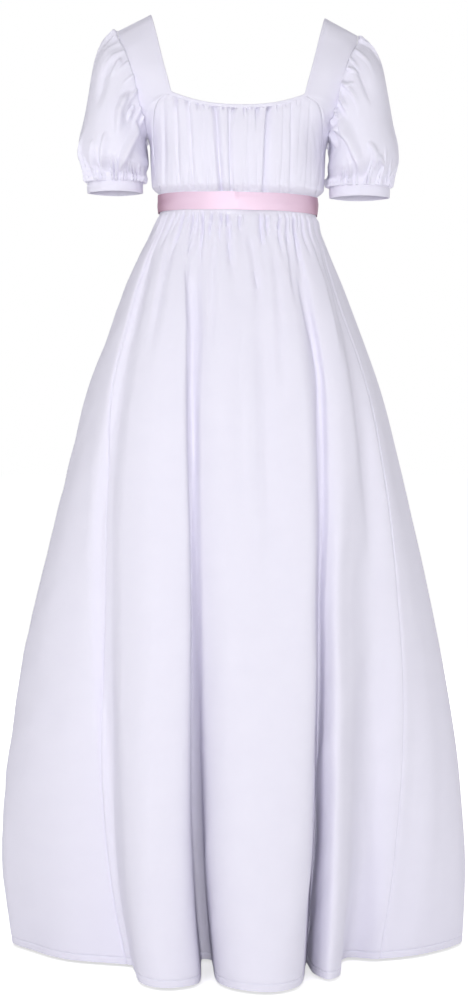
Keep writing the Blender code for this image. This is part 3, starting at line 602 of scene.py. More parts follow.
@dataclass
class ClothGrid:
    """A woven piece as rows and columns of points, columns running left to right from outside."""

    points: np.ndarray
    ring: bool = False
    keep: np.ndarray | None = None
    blocks: tuple = ()

    def normals(self) -> np.ndarray:
        """Return the outward normals; blocks are runs of columns and rows with edges of their own."""
        result = self._normals_of(self.points, self.ring)
        for rows, columns in self.blocks:
            result[rows, columns] = self._normals_of(self.points[rows, columns], False)
        return result

    @staticmethod
    def _normals_of(points: np.ndarray, ring: bool) -> np.ndarray:
        """Work out the normals of one block.

        Args:
            points: the block's points.
            ring: whether its last column meets its first.

        Returns:
            The normals, shaped as points.
        """
        if ring:
            across = np.roll(points, -1, axis=1) - np.roll(points, 1, axis=1)
        else:
            across = np.gradient(points, axis=1)
        return unit(np.cross(across, np.gradient(points, axis=0)))

    def arc(self) -> np.ndarray:
        """Return the distance along each row from its first column."""
        steps = np.linalg.norm(np.diff(self.points, axis=1), axis=2)
        return np.hstack([np.zeros((len(self.points), 1)), np.cumsum(steps, axis=1)])

    def lengthwise(self) -> np.ndarray:
        """Return the mean distance of each row from the first."""
        steps = np.linalg.norm(np.diff(self.points, axis=0), axis=2).mean(axis=1)
        return np.concatenate([[0.0], np.cumsum(steps)])

    def shell(self, name: str, thickness: float, material: bpy.types.Material) -> bpy.types.Object:
        """Build the closed shell.

        Args:
            name: the piece's name.
            thickness: the cloth's thickness, laid inwards.
            material: the finish.

        Returns:
            The new object, with a UV map in metres.
        """
        rows, columns = self.points.shape[:2]
        outer = self.points
        inner = outer - self.normals() * thickness
        count = rows * columns
        wide = columns if self.ring else columns - 1
        keep = np.ones((rows - 1, wide), dtype=bool) if self.keep is None else self.keep
        reach = self.arc().mean(axis=0)
        if self.ring:
            reach = np.append(reach, reach[-1] + reach[1])
        tall = self.lengthwise()
        r, c = np.nonzero(keep)
        corners = np.stack([(r, c), (r, c + 1), (r + 1, c + 1), (r + 1, c)], axis=0)
        faces = [corners, corners[::-1]]
        layers = [np.array((0, 0, 0, 0)), np.array((1, 1, 1, 1))]
        for first, second, down, over in ((0, 1, -1, 0), (2, 3, 1, 0), (3, 0, 0, -1), (1, 2, 0, 1)):
            pick = self._bare(keep, down, over)[r, c]
            if pick.any():
                a = corners[first][:, pick]
                b = corners[second][:, pick]
                faces.append(np.stack([b, a, a, b], axis=0))
                layers.append(np.array((0, 0, 1, 1)))
        indices = []
        uvs = []
        for block, layer in zip(faces, layers):
            row = block[:, 0, :].T
            column = block[:, 1, :].T
            indices.append(row * columns + column % columns + layer[None, :] * count)
            uvs.append(np.stack([reach[column], tall[row]], axis=-1).reshape(-1, 2))
        vertices = np.concatenate([outer.reshape(-1, 3), inner.reshape(-1, 3)])
        quads = np.concatenate(indices)
        used = np.unique(quads)
        renumber = np.zeros(2 * count, dtype=int)
        renumber[used] = np.arange(len(used))
        return new_piece(name, vertices[used], renumber[quads], np.concatenate(uvs), material)

    def _bare(self, keep: np.ndarray, down: int, over: int) -> np.ndarray:
        """Find the cells at an edge of the cloth.

        Args:
            keep: the cells that carry cloth.
            down: rows to the neighbour looked at.
            over: columns to the neighbour looked at.

        Returns:
            True for each cell with no kept neighbour there.
        """
        padded = np.zeros((keep.shape[0] + 2, keep.shape[1] + 2), dtype=bool)
        padded[1:-1, 1:-1] = keep
        if self.ring:
            padded[1:-1, 0] = keep[:, -1]
            padded[1:-1, -1] = keep[:, 0]
        rows, columns = keep.shape
        return ~padded[1 + down:1 + down + rows, 1 + over:1 + over + columns]


def new_piece(
    name: str, vertices: np.ndarray, faces: np.ndarray, uvs: np.ndarray, material: bpy.types.Material
) -> bpy.types.Object:
    """Make a smooth-shaded mesh object.

    Args:
        name: the piece's name.
        vertices: its points.
        faces: four point numbers for each face.
        uvs: two numbers for each face corner, in metres.
        material: the finish.

    Returns:
        The object, linked to the scene.
    """
    mesh = bpy.data.meshes.new(name)
    mesh.from_pydata(vertices.tolist(), [], faces.tolist())
    layer = mesh.uv_layers.new(name="cloth")
    layer.data.foreach_set("uv", uvs.astype(np.float32).ravel())
    mesh.shade_smooth()
    mesh.set_sharp_from_angle(angle=math.radians(SHARP_DEGREES))
    mesh.materials.append(material)
    return placed(name, mesh)


def placed(name: str, data: bpy.types.ID) -> bpy.types.Object:
    """Put an object into the scene.

    Args:
        name: the object's name.
        data: its mesh, light or camera.

    Returns:
        The object.
    """
    thing = bpy.data.objects.new(name, data)
    bpy.context.scene.collection.objects.link(thing)
    return thing


def hand_over(piece: bpy.types.Object, node: str | None = None) -> None:
    """Ride a piece on the gown's body, hide the solid that it stands for, and log its size.

    Args:
        piece: the piece.
        node: the solid that it replaces, if any.
    """
    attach(piece, BODY)
    if node:
        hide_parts(node)
    area = sum(face.area for face in piece.data.polygons)
    LOG.info("%s: %d faces, %.4f m2 on each side", piece.name, len(piece.data.polygons), area / 2.0)


class NodeHelper:
    """Short calls for building node trees."""

    def __init__(self, tree: bpy.types.NodeTree) -> None:
        """Keep the tree."""
        self.tree = tree

    def add(self, kind: str, inputs: dict | None = None, **values: object) -> bpy.types.Node:
        """Add a node.

        Args:
            kind: the node's type.
            inputs: numbers, colours or sockets for its inputs, by name.
            **values: its properties.

        Returns:
            The node.
        """
        node = self.tree.nodes.new(kind)
        for key, value in values.items():
            setattr(node, key, value)
        self.fill(node, inputs or {})
        return node

    def fill(self, node: bpy.types.Node, inputs: dict) -> None:
        """Set or join a node's inputs.

        Args:
            node: the node.
            inputs: numbers, colours or sockets, by the input's name or number.
        """
        for key, value in inputs.items():
            if isinstance(value, bpy.types.NodeSocket):
                self.tree.links.new(value, node.inputs[key])
            else:
                node.inputs[key].default_value = value

    def math(self, operation: str, first: object, second: object = 0.0) -> bpy.types.NodeSocket:
        """Work out a number.

        Args:
            operation: the sum to do.
            first: its first socket or number.
            second: its second socket or number, where it takes one.

        Returns:
            The socket of the result.
        """
        return self.add("ShaderNodeMath", {0: first, 1: second}, operation=operation).outputs[0]

    def sockets(self, way: str, **kinds: str) -> None:
        """Give a group sockets.

        Args:
            way: INPUT or OUTPUT.
            **kinds: the kind of each socket, by name.
        """
        for name, kind in kinds.items():
            self.tree.interface.new_socket(name, in_out=way, socket_type="NodeSocket" + kind)


def weave_group() -> bpy.types.NodeTree:
    """Return the shared weave: crossing threads, with slubs and soft mottling."""
    tree = bpy.data.node_groups.new("plain weave", "ShaderNodeTree")
    make = NodeHelper(tree)
    make.sockets("INPUT", Vector="Vector", Across="Float", Along="Float")
    make.sockets("OUTPUT", Height="Float", Mottle="Float", Slub="Float")
    inside = make.add("NodeGroupInput").outputs
    split = make.add("ShaderNodeSeparateXYZ", {0: inside["Vector"]}).outputs
    warp = make.math("SINE", make.math("MULTIPLY", split[0], inside["Across"]))
    weft = make.math("SINE", make.math("MULTIPLY", split[1], inside["Along"]))
    stretch = make.add("ShaderNodeMapping", {"Vector": inside["Vector"], "Scale": SLUB_SCALE})
    slub = make.add("ShaderNodeTexNoise", {"Vector": stretch.outputs[0], "Scale": 1.0, "Detail": 3.0})
    mottle = make.add(
        "ShaderNodeTexNoise", {"Vector": inside["Vector"], "Scale": MOTTLE_SCALE, "Detail": 4.0}
    )
    crossing = make.math("MULTIPLY", warp, weft)
    height = make.math("ADD", crossing, make.math("MULTIPLY", slub.outputs["Fac"], SLUB_SHARE))
    results = {"Height": height, "Mottle": mottle.outputs["Fac"], "Slub": slub.outputs["Fac"]}
    make.add("NodeGroupOutput", results)
    return tree


@dataclass(frozen=True)
class Finish:
    """A woven finish: two close colours, threads, gloss, relief, and a painted shade where it turns away
    from view.
    """

    name: str
    light: tuple
    deep: tuple
    across: float
    along: float
    roughness: float
    roughness_spread: float
    relief: float
    sheen: float
    specular: float
    metallic: float = 0.0
    # Colour of the painted shade where the surface turns away from view, or none
    edge: tuple | None = None

    def material(self, weave: bpy.types.NodeTree) -> bpy.types.Material:
        """Build the material.

        Args:
            weave: the shared weave.

        Returns:
            The material.
        """
        material = bpy.data.materials.new(self.name)
        material.use_nodes = True
        make = NodeHelper(material.node_tree)
        place = make.add("ShaderNodeUVMap", uv_map="cloth").outputs["UV"]
        turns = {"Across": 2.0 * math.pi / self.across, "Along": 2.0 * math.pi / self.along}
        group = make.add("ShaderNodeGroup", {"Vector": place, **turns}, node_tree=weave)
        mottle = make.math("MULTIPLY", group.outputs["Mottle"], MOTTLE_GAIN)
        colour = self.blend(make, mottle, (*self.deep, 1.0), (*self.light, 1.0))
        # Painted shade: blend towards the edge colour where the surface turns away from view
        if self.edge is not None:
            facing = make.add("ShaderNodeLayerWeight").outputs["Facing"]
            turned = make.math("MINIMUM", make.math("MULTIPLY", facing, EDGE_SHADE_GAIN), 1.0)
            colour = self.blend(make, turned, colour, (*self.edge, 1.0))
        spread = make.math("MULTIPLY", group.outputs["Slub"], self.roughness_spread)
        relief = {"Height": group.outputs["Height"], "Strength": self.relief, "Distance": RELIEF_HEIGHT}
        make.fill(material.node_tree.nodes["Principled BSDF"], {
            "Base Color": colour,
            "Roughness": make.math("ADD", spread, self.roughness),
            "Normal": make.add("ShaderNodeBump", relief).outputs["Normal"],
            "Sheen Weight": self.sheen,
            "Sheen Roughness": SHEEN_ROUGHNESS,
            "Specular IOR Level": self.specular,
            "Metallic": self.metallic,
        })
        return material

    @staticmethod
    def blend(make: NodeHelper, share: object, first: object, last: object) -> bpy.types.NodeSocket:
        """Mix two colours.

        Args:
            make: the helper of the material's tree.
            share: how much of the last colour to take.
            first: the first colour or its socket.
            last: the last colour or its socket.

        Returns:
            The socket of the mixed colour.
        """
        node = make.add("ShaderNodeMix", {"Factor": share, "A": first, "B": last}, data_type="RGBA")
        return node.outputs["Result"]


GOWN_CLOTH = Finish(
    name="gown cloth",
    light=(0.845, 0.825, 0.935),
    deep=(0.820, 0.800, 0.915),
    across=0.0007,
    along=0.0007,
    roughness=0.86,
    roughness_spread=0.10,
    relief=0.35,
    sheen=0.00,
    specular=0.08,
)
SASH_SATIN = Finish(
    name="sash satin",
    light=(0.900, 0.690, 0.850),
    deep=(0.860, 0.650, 0.800),
    across=0.0150,
    along=0.0006,
    roughness=0.48,
    roughness_spread=0.08,
    relief=0.12,
    sheen=0.00,
    specular=0.60,
    metallic=0.12,
    # Painted shade: the satin darkens towards this colour at its sides, where it turns away from view
    edge=(0.470, 0.270, 0.370),
)
SEWING_THREAD = Finish(
    name="sewing thread",
    light=(0.860, 0.845, 0.930),
    deep=(0.800, 0.785, 0.880),
    across=0.0004,
    along=0.0004,
    roughness=0.60,
    roughness_spread=0.10,
    relief=0.30,
    sheen=0.05,
    specular=0.30,
)


class Torso:
    """The rounded form of the upper body, from the waist seam over the shoulders."""

    def __init__(self) -> None:
        """Read the sections."""
        self.sections = Sections(TORSO, TORSO_COLUMNS)

    def points(self, angle: np.ndarray, row: np.ndarray, side: Side) -> np.ndarray:
        """Find points on the torso.

        Args:
            angle: angles from the middle of the side.
            row: fractional rows of TORSO.
            side: the front or the back.

        Returns:
            The points.
        """
        half_width = self.sections.value("half_width", row)
        reach = self.sections.value("front" if side is Side.FRONT else "back", row)
        power = 2.0 / ROUNDNESS
        x = half_width * np.sign(angle) * np.abs(np.sin(angle)) ** power
        y = side.value * reach * np.maximum(np.cos(angle), 0.0) ** power
        height = self.sections.value("height", row)
        slope = SHOULDER_SLOPE * ease(SLOPE_START, 0.0, height)
        drop = slope * np.maximum(np.abs(x) - NECK_HALF, 0.0)
        return leaned(np.stack([x, y, height - drop], axis=-1))

    def angle(self, x: np.ndarray, row: np.ndarray) -> np.ndarray:
        """Find the angles of places on the torso.

        Args:
            x: distances from the gown's middle.
            row: fractional rows of TORSO.

        Returns:
            The angles from the middle of the front or back.
        """
        share = np.clip(np.abs(x) / self.sections.value("half_width", row), 0.0, 1.0)
        return np.sign(x) * np.arcsin(share ** (ROUNDNESS / 2.0))


class Draft:
    """The cut of the front or back, laid on the torso."""

    def __init__(self, torso: Torso, rows: tuple, side: Side, neck: float) -> None:
        """Keep the torso and the lines of the cut.

        Args:
            torso: the form that the cut lies on.
            rows: the cut's inner and outer lines.
            side: the front or the back.
            neck: the neck's lowest level.
        """
        self.torso = torso
        self.sections = Sections(rows, DRAFT_COLUMNS)
        self.side = side
        self.neck = neck
        self.corner = rows[CORNER_ROW][1]
        self.top = float(len(rows) - 1)

    def line(self, name: str, row: np.ndarray) -> tuple:
        """Lay one line of the cut on the torso.

        Args:
            name: inner or outer.
            row: fractional rows of the cut.

        Returns:
            The line's angles and its rows of TORSO.
        """
        x = self.sections.value(name + "_x", row)
        place = self.torso.sections.place("height", self.sections.value(name + "_height", row))
        angle = self.torso.angle(x, place)
        if name == "outer":
            angle = np.where(np.asarray(row) <= UNDERARM_ROW, math.pi / 2.0, angle)
        return angle, place

    def strap(self, across: np.ndarray, row: np.ndarray, hand: float) -> np.ndarray:
        """Find points of a strap and side.

        Args:
            across: 0 at the inner line to 1 at the outer line.
            row: fractional rows of the cut.
            hand: 1 on the gown's left, -1 on its right.

        Returns:
            The points.
        """
        inner_angle, inner_place = self.line("inner", row)
        outer_angle, outer_place = self.line("outer", row)
        angle = inner_angle + (outer_angle - inner_angle) * across
        place = inner_place + (outer_place - inner_place) * across
        return self.torso.points(hand * angle, place, self.side)

    def middle(self, across: np.ndarray, row: np.ndarray) -> np.ndarray:
        """Find points of the centre.

        Args:
            across: -1 at the right seam to 1 at the left seam.
            row: fractional rows of the cut, up to the neck's corner.

        Returns:
            The points.
        """
        seam_angle, _ = self.line("inner", row)
        height = self.sections.value("inner_height", row)
        share = (height - WAIST_SEAM) / (self.corner - WAIST_SEAM)
        sag = (self.corner - self.neck) * share
        height = height - sag * (1.0 - np.abs(across) ** NECK_CURVE)
        place = self.torso.sections.place("height", height)
        return self.torso.points(seam_angle * across, place, self.side)


@dataclass(frozen=True)
class GatherRow:
    """A row of short gathers along one edge of the front, with the sizes to draw from."""

    count: int
    half_span: float
    scatter: float
    depths: tuple
    lengths: tuple
    width: float

    def place(self, index: int, draw: np.random.Generator) -> float:
        """Draw the place of one gather.

        Args:
            index: its number, from the right.
            draw: the source of random numbers.

        Returns:
            Its distance from the gown's middle.
        """
        even = -self.half_span + 2.0 * self.half_span * index / (self.count - 1)
        return even + draw.uniform(-self.scatter, self.scatter)


NECK_GATHERS = GatherRow(
    count=27, half_span=0.094, scatter=0.0025, depths=(0.0018, 0.0046), lengths=(0.10, 0.36), width=0.0014
)
WAIST_GATHERS = GatherRow(
    count=25, half_span=0.108, scatter=0.004, depths=(0.0005, 0.0017), lengths=(0.20, 0.60), width=0.0016
)


@dataclass
class Bodice:
    """The gathered front, the two strap and side pieces, and the back."""

    torso: Torso
    cloth: bpy.types.Material
    front_columns: int = 400
    front_rows: int = 104
    strap_columns: int = 34
    strap_rows: int = 120
    back_columns: int = 90
    back_rows: int = 130
    gather_wander: Wave = Wave(0.0008, 2.2, 1.7)
    gather_start: tuple = (-0.20, 0.12)
    gather_end: float = 0.16
    gather_walls: tuple = (0.75, 2.0)
    neck_drift: float = 0.006
    neck_fade: float = 0.35
    waist_fade: float = 0.12
    left_fade: tuple = (0.045, 0.095)
    left_gains: tuple = (1.3, 0.8)
    edge_hold: float = 0.15
    edge_rows: float = 1.3
    seam_clear: float = 0.03
    sash_clear: float = 0.005
    crumple: Wave = Wave(0.0004, 20.0, 0.45)
    front_seam: tuple = (0.0009, 0.018)
    strap_seam: tuple = (0.0008, 0.05)
    strap_seam_rise: tuple = (1.0, 2.0)
    strap_start: float = 0.006
    strap_drag: Wave = Wave(0.0010, 2.6, 0.8, slant_across=0.35)
    strap_clear: float = 0.12
    strap_rise: tuple = (0.5, 1.6)
    top_clear: float = 0.6
    back_drag: Wave = Wave(0.0012, 3.2, 0.55, slant_along=1.0)
    back_fine: Wave = Wave(0.0004, 11.0, 0.8)
    back_clear: float = 0.2
    back_rise: tuple = (0.8, 2.0)
    neck_samples: int = 90
    strap_samples: int = 46
    neck_smoothing: int = 3
    neck_outward: tuple = (0.35, 2.0, 1.6)

    def __post_init__(self) -> None:
        """Lay out both drafts."""
        self.front = Draft(self.torso, FRONT_DRAFT, Side.FRONT, FRONT_NECK)
        self.back = Draft(self.torso, BACK_DRAFT, Side.BACK, BACK_NECK)

    def build(self) -> None:
        """Build and dress the four pieces."""
        self.dress(self.gathered_front(), "bodice_front", (0.36, 0.17), 0.052)
        self.dress(self.strap_piece(1.0), "bodice_side_left", (0.09, 0.33), 0.0155)
        self.dress(self.strap_piece(-1.0), "bodice_side_right", (0.09, 0.33), 0.0155)
        self.dress(self.plain_back(), "bodice_back", (0.40, 0.31), 0.0735)

    def dress(self, grid: ClothGrid, node: str, flat: tuple, area: float) -> None:
        """Turn a grid into its piece.

        Args:
            grid: the piece's points.
            node: the solid that it replaces.
            flat: width and length of the cut; not used.
            area: area of the cut; not used.
        """
        piece = grid.shell(node + "_cloth", SHELL, self.cloth)
        hand_over(piece, node)

    def gather_depth(self, across: np.ndarray, row: np.ndarray) -> np.ndarray:
        """Say how far the gathers draw the front inwards.

        Args:
            across: -1 at the right seam to 1 at the left seam.
            row: fractional rows of the cut.

        Returns:
            The depths.
        """
        up = row / CORNER_ROW
        x = self.front.middle(across, row)[..., 0]
        depth = np.zeros_like(x)
        early, late = self.gather_start
        near, far = self.gather_walls
        for index, (neck_x, waist_x, deep, half_width, top, bottom) in enumerate(GATHERS):
            wander = self.gather_wander.over(up, index, seed=11)
            line = waist_x + (neck_x - waist_x) * up + wander
            length = ease(bottom + early, bottom + late, up) * (1.0 - ease(top, top + self.gather_end, up))
            gap = x - line
            depth += deep * bell(gap, np.where(gap < 0.0, near * half_width, far * half_width)) * length
        full, loss = self.left_gains
        return (depth + self.short_gathers(x, up)) * (full - loss * ease(*self.left_fade, x))

    def short_gathers(self, x: np.ndarray, up: np.ndarray) -> np.ndarray:
        """Draw in the short gathers under the neck edge and above the sash.

        Args:
            x: distances from the gown's middle.
            up: shares of the way from the waist to the neck.

        Returns:
            The depths.
        """
        draw = np.random.default_rng(seed=7)
        depth = np.zeros_like(x)
        for index in range(NECK_GATHERS.count):
            place = NECK_GATHERS.place(index, draw)
            deep = draw.uniform(*NECK_GATHERS.depths)
            length = draw.uniform(*NECK_GATHERS.lengths)
            line = place + draw.uniform(-self.neck_drift, self.neck_drift) * (1.0 - up)
            reach = ease(1.0 - length, 1.0 - self.neck_fade * length, up)
            depth += deep * reach * bell(x - line, NECK_GATHERS.width)
        for index in range(WAIST_GATHERS.count):
            place = WAIST_GATHERS.place(index, draw)
            deep = draw.uniform(*WAIST_GATHERS.depths)
            reach = 1.0 - ease(self.waist_fade, draw.uniform(*WAIST_GATHERS.lengths), up)
            depth += deep * reach * bell(x - place, WAIST_GATHERS.width)
        return depth

    def gathered_front(self) -> ClothGrid:
        """Return the front with its gathers."""
        edge = 1.0 - SEAM_INSET / FRONT_DRAFT[0][0]
        columns = np.linspace(-edge, edge, self.front_columns)
        across, row = np.meshgrid(columns, np.linspace(0.0, CORNER_ROW, self.front_rows))
        points = self.front.middle(across, row)
        inward = unit(points * np.array((-1.0, -1.0, 0.0)))
        from_seam = 1.0 - np.abs(across)
        fade = self.edge_hold + (1.0 - self.edge_hold) * ease(0.0, self.edge_rows, CORNER_ROW - row)
        fade = fade * ease(0.0, self.seam_clear, from_seam)
        height = self.front.sections.value("inner_height", row)
        level = ease(SASH_TOP, SASH_TOP + self.sash_clear, height)
        depth = self.gather_depth(across, row) * fade * level
        crumple = self.crumple.over(across, row, seed=3) * fade * level
        seam_depth, seam_width = self.front_seam
        seam = seam_depth * bell(from_seam, seam_width) * level
        return ClothGrid(points + inward * (depth + crumple + seam)[..., None])

    def strap_piece(self, hand: float) -> ClothGrid:
        """Make a strap and side piece with its faint drag lines.

        Args:
            hand: 1 on the gown's left, -1 on its right.

        Returns:
            The piece's points.
        """
        columns = np.linspace(self.strap_start, 1.0, self.strap_columns)
        if hand < 0.0:
            columns = columns[::-1]
        across, row = np.meshgrid(columns, np.linspace(0.0, self.front.top, self.strap_rows))
        grid = ClothGrid(self.front.strap(across, row, hand))
        normals = grid.normals()
        drag = self.strap_drag.over(across, row, seed=21 if hand > 0.0 else 22)
        edge = ease(0.0, self.strap_clear, across) * ease(0.0, self.strap_clear, 1.0 - across)
        edge = edge * ease(*self.strap_rise, row)
        top = ease(0.0, self.top_clear, self.front.top - row)
        seam_depth, seam_width = self.strap_seam
        seam = seam_depth * bell(across, seam_width) * ease(*self.strap_seam_rise, row)
        grid.points = grid.points - normals * ((drag * edge + seam) * top)[..., None]
        return grid

    def plain_back(self) -> ClothGrid:
        """Return the back with both straps and soft drag lines."""
        strap = np.linspace(2.0, 1.0, self.strap_columns)
        middle = np.linspace(1.0, -1.0, self.back_columns)
        columns = np.concatenate([strap[:-1], middle, -strap[::-1][1:]])
        corner = int(round(self.back_rows * CORNER_ROW / self.back.top))
        low = np.linspace(0.0, CORNER_ROW, corner)
        high = np.linspace(CORNER_ROW, self.back.top, self.back_rows - corner + 1)[1:]
        rows = np.concatenate([low, high])
        across, row = np.meshgrid(columns, rows)
        points = self.back.middle(np.clip(across, -1.0, 1.0), row)
        for hand in (1.0, -1.0):
            outside = hand * across > 1.0
            sideways = self.back.strap(np.clip(np.abs(across) - 1.0, 0.0, 1.0), row, hand)
            points = np.where(outside[..., None], sideways, points)
        first = self.strap_columns - 1
        last = first + self.back_columns - 1
        keep = np.ones((len(rows) - 1, len(columns) - 1), dtype=bool)
        keep[corner - 1:, first:last] = False
        above = slice(corner, len(rows))
        blocks = ((above, slice(0, first + 1)), (above, slice(last, len(columns))))
        grid = ClothGrid(points, keep=keep, blocks=blocks)
        normals = grid.normals()
        drag = self.back_drag.over(across, row, seed=31) + self.back_fine.over(across, row, seed=32)
        edge = ease(0.0, self.back_clear, 2.0 - np.abs(across)) * ease(*self.back_rise, row)
        edge = edge * ease(0.0, self.top_clear, self.back.top - row)
        grid.points = points - normals * (drag * edge)[..., None]
        return grid

    def neck_path(self) -> tuple:
        """Return the neck edge once round, with its forward and outward directions."""
        corner = float(CORNER_ROW)
        across = np.linspace(-1.0, 1.0, self.neck_samples)
        strap = np.linspace(corner, self.front.top, self.strap_samples)[1:]
        inner = np.zeros(len(strap))
        runs = (
            self.front.middle(across, np.full(len(across), corner)),
            self.front.strap(inner, strap, 1.0),
            self.back.strap(inner, np.append(strap[:-1][::-1], corner), 1.0),
            self.back.middle(across[::-1][1:], np.full(len(across) - 1, corner)),
            self.back.strap(inner, strap, -1.0),
            self.front.strap(inner[1:], strap[:-1][::-1], -1.0),
        )
        path = np.concatenate(runs)
        for _ in range(self.neck_smoothing):
            path = 0.5 * path + 0.25 * (np.roll(path, 1, axis=0) + np.roll(path, -1, axis=0))
        forward = unit(np.roll(path, -1, axis=0) - np.roll(path, 1, axis=0))
        crest = np.maximum(0.0, 1.0 - np.abs(path[:, 1]) / TORSO[CORNER_ROW][2])
        side, ahead, up = self.neck_outward
        sideways = side * path[:, 0] / NECK_HALF
        outward = np.stack([sideways, ahead * path[:, 1] / NECK_HALF, up * crest], axis=-1)
        outward = unit(outward - forward * np.sum(outward * forward, axis=-1, keepdims=True))
        return path, forward, outward


@dataclass
class Binding:
    """The narrow binding folded over the neck edge."""

    bodice: Bodice
    cloth: bpy.types.Material
    leg: float = 0.0046
    leg_top: float = 0.0012
    shoulder: float = 0.0010
    half_thick: float = 0.0015
    rise: float = 0.0007
    thickness: float = 0.0006
    pucker: Wave = Wave(0.12, 0.6, 1.0)
    turn_points: int = 9
    leg_points: int = 4
    stitch_lift: float = 0.0001

    def section(self) -> tuple:
        """Return the section's outward and downward offsets, from outside over the edge to inside."""
        turn = np.linspace(0.0, math.pi, self.turn_points)[1:-1]
        legs = np.linspace(self.leg, self.leg_top, self.leg_points)
        flat = np.full(self.leg_points, 1.0)
        outward = np.concatenate([flat, np.cos(turn), -flat]) * self.half_thick - 0.5 * SHELL
        crown = self.shoulder - (self.shoulder + self.rise) * np.sin(turn)
        return outward, np.concatenate([legs, crown, legs[::-1]])

    def build(self) -> np.ndarray:
        """Build the binding and return the line of its stitches."""
        path, forward, outward = self.bodice.neck_path()
        down = np.cross(forward, outward)
        out, low = self.section()
        pucker = 1.0 + self.pucker.over(np.arange(len(path)), 0.5, seed=41)
        points = path[None] + down[None] * low[:, None, None]
        points = points + outward[None] * (out[:, None] * pucker[None, :])[..., None]
        piece = ClothGrid(points, ring=True).shell("neck_binding_cloth", self.thickness, self.cloth)
        hand_over(piece, "neck_binding")
        return points[1] + outward * self.stitch_lift


@dataclass
class Sleeve:
    """A puff sleeve, gathered into the armhole and into a narrow cuff."""

    bodice: Bodice
    cloth: bpy.types.Material
    name: str
    hand: float
    cuff_inner: float
    cuff_outer: float
    creases: tuple
    seed: int
    round_columns: int = 280
    length_rows: int = 112
    side_power: float = 0.9
    armhole_samples: int = 60
    armhole_rows: float = 4.0
    narrow_rows: float = 3.0
    cap_clear: float = 0.45
    cuff_clear: float = 0.30
    gather_clear: float = 0.5
    cap_gathers: int = 17
    cap_spacing: float = 0.044
    cap_scatter: float = 0.012
    cap_bends: tuple = (-0.006, 0.010)
    cap_lengths: tuple = (2.0, 5.6)
    cap_widths: tuple = (0.0040, 0.0062)
    cap_depths: tuple = (0.0036, 0.0085)
    cap_spread: float = 0.22
    cuff_gathers: int = 34
    cuff_scatter: float = 0.40
    cuff_bend: float = 0.010
    cuff_lengths: tuple = (1.3, 4.2)
    cuff_widths: tuple = (0.0038, 0.0058)
    cuff_depths: tuple = (0.0032, 0.0078)
    broad: Wave = Wave(0.0022, 7.0, 0.45, slant_along=3.0)
    small: Wave = Wave(0.0005, 22.0, 0.9)
    cuff_thickness: float = 0.0016
    cuff_swell: float = 0.0006
    cuff_uneven: Wave = Wave(0.0003, 20.0, 2.0)
    cuff_wave: tuple = (0.0004, 3.0)
    cuff_rows: int = 13
    cuff_stitch_rows: tuple = (1, 10)

    def __post_init__(self) -> None:
        """Read the sections."""
        self.sections = Sections(SLEEVE, SLEEVE_COLUMNS)
        self.last = float(self.sections.last)
        self.middle = 0.5 * (self.cuff_inner + self.cuff_outer)
        self.radius = 0.5 * (self.cuff_outer - self.cuff_inner)

    def build(self) -> list:
        """Build sleeve and cuff and return the lines of the cuff's stitches."""
        grid = self.puff()
        piece = grid.shell("sleeve_" + self.name + "_cloth", SHELL, self.cloth)
        hand_over(piece, "sleeve_" + self.name)
        return self.cuff()

    def armhole(self, turn: np.ndarray) -> np.ndarray:
        """Find points of the armhole's edge.

        Args:
            turn: turns of 0 (shoulder), 0.25 (front) and 0.5 (underarm).

        Returns:
            The points.
        """
        rows = np.linspace(UNDERARM_ROW, self.bodice.front.top, self.armhole_samples)
        ones = np.ones_like(rows)
        front = self.bodice.front.strap(ones, rows, self.hand)
        back = self.bodice.back.strap(ones, rows, self.hand)
        turn = np.mod(turn, 1.0)
        result = np.zeros((*turn.shape, 3))
        halves = ((front, 1.0 - 2.0 * turn, turn <= 0.5), (back, 2.0 * turn - 1.0, turn > 0.5))
        for line, share, pick in halves:
            steps = np.linalg.norm(np.diff(line, axis=0), axis=1)
            along = np.concatenate([[0.0], np.cumsum(steps)]) / steps.sum()
            for axis in range(3):
                result[..., axis] = np.where(pick, np.interp(share, along, line[:, axis]), result[..., axis])
        return result

    def ring(self, turn: np.ndarray, place: np.ndarray) -> np.ndarray:
        """Find points of the plain form.

        Args:
            turn: turns round the arm.
            place: fractional rows of SLEEVE, from armhole to cuff.

        Returns:
            The points.
        """
        top_x, top_z, under_x, under_z, depth = (
            self.sections.value(name, place) for name in SLEEVE_COLUMNS
        )
        to_cuff = ease(self.last - self.narrow_rows, self.last, place)
        top_x = top_x + (self.cuff_outer - top_x) * to_cuff
        under_x = under_x + (self.cuff_inner - under_x) * to_cuff
        depth = depth + (self.radius - depth) * to_cuff
        level = ease(self.last - 1.0, self.last, place)
        top_z = top_z + (CUFF_TOP - top_z) * level
        under_z = under_z + (CUFF_TOP - under_z) * level
        cosine = np.cos(2.0 * math.pi * turn)
        sine = np.sin(2.0 * math.pi * turn)
        x = self.hand * (0.5 * (top_x + under_x) + 0.5 * (top_x - under_x) * cosine)
        z = 0.5 * (top_z + under_z) + 0.5 * (top_z - under_z) * cosine
        y = -np.sign(sine) * depth * np.abs(sine) ** self.side_power
        return np.stack([x, y, z - LEAN * self.hand * self.middle], axis=-1)

    def puff(self) -> ClothGrid:
        """Return the sleeve with its gathers and creases."""
        columns = np.arange(self.round_columns) / self.round_columns
        across, up = np.meshgrid(columns, np.linspace(0.0, self.last, self.length_rows))
        turn = 0.25 + self.hand * (across + 0.25)
        place = self.last - up
        clear = self.armhole(turn) + ARMHOLE_AXIS * np.array((self.hand, 1.0, 1.0)) * ARMHOLE_CLEAR
        shift = clear - self.ring(turn, np.zeros_like(place))
        held = 1.0 - ease(0.0, self.armhole_rows, place)
        points = self.ring(turn, place) + shift * held[..., None]
        grid = ClothGrid(points, ring=True)
        normals = grid.normals()
        inside = ease(0.0, self.cap_clear, place) * ease(0.0, self.cuff_clear, self.last - place)
        points = points - normals * (self.gathers(turn, place) * inside)[..., None]
        grid.points = pressed(points, normals * inside[..., None], self.creases)
        return grid

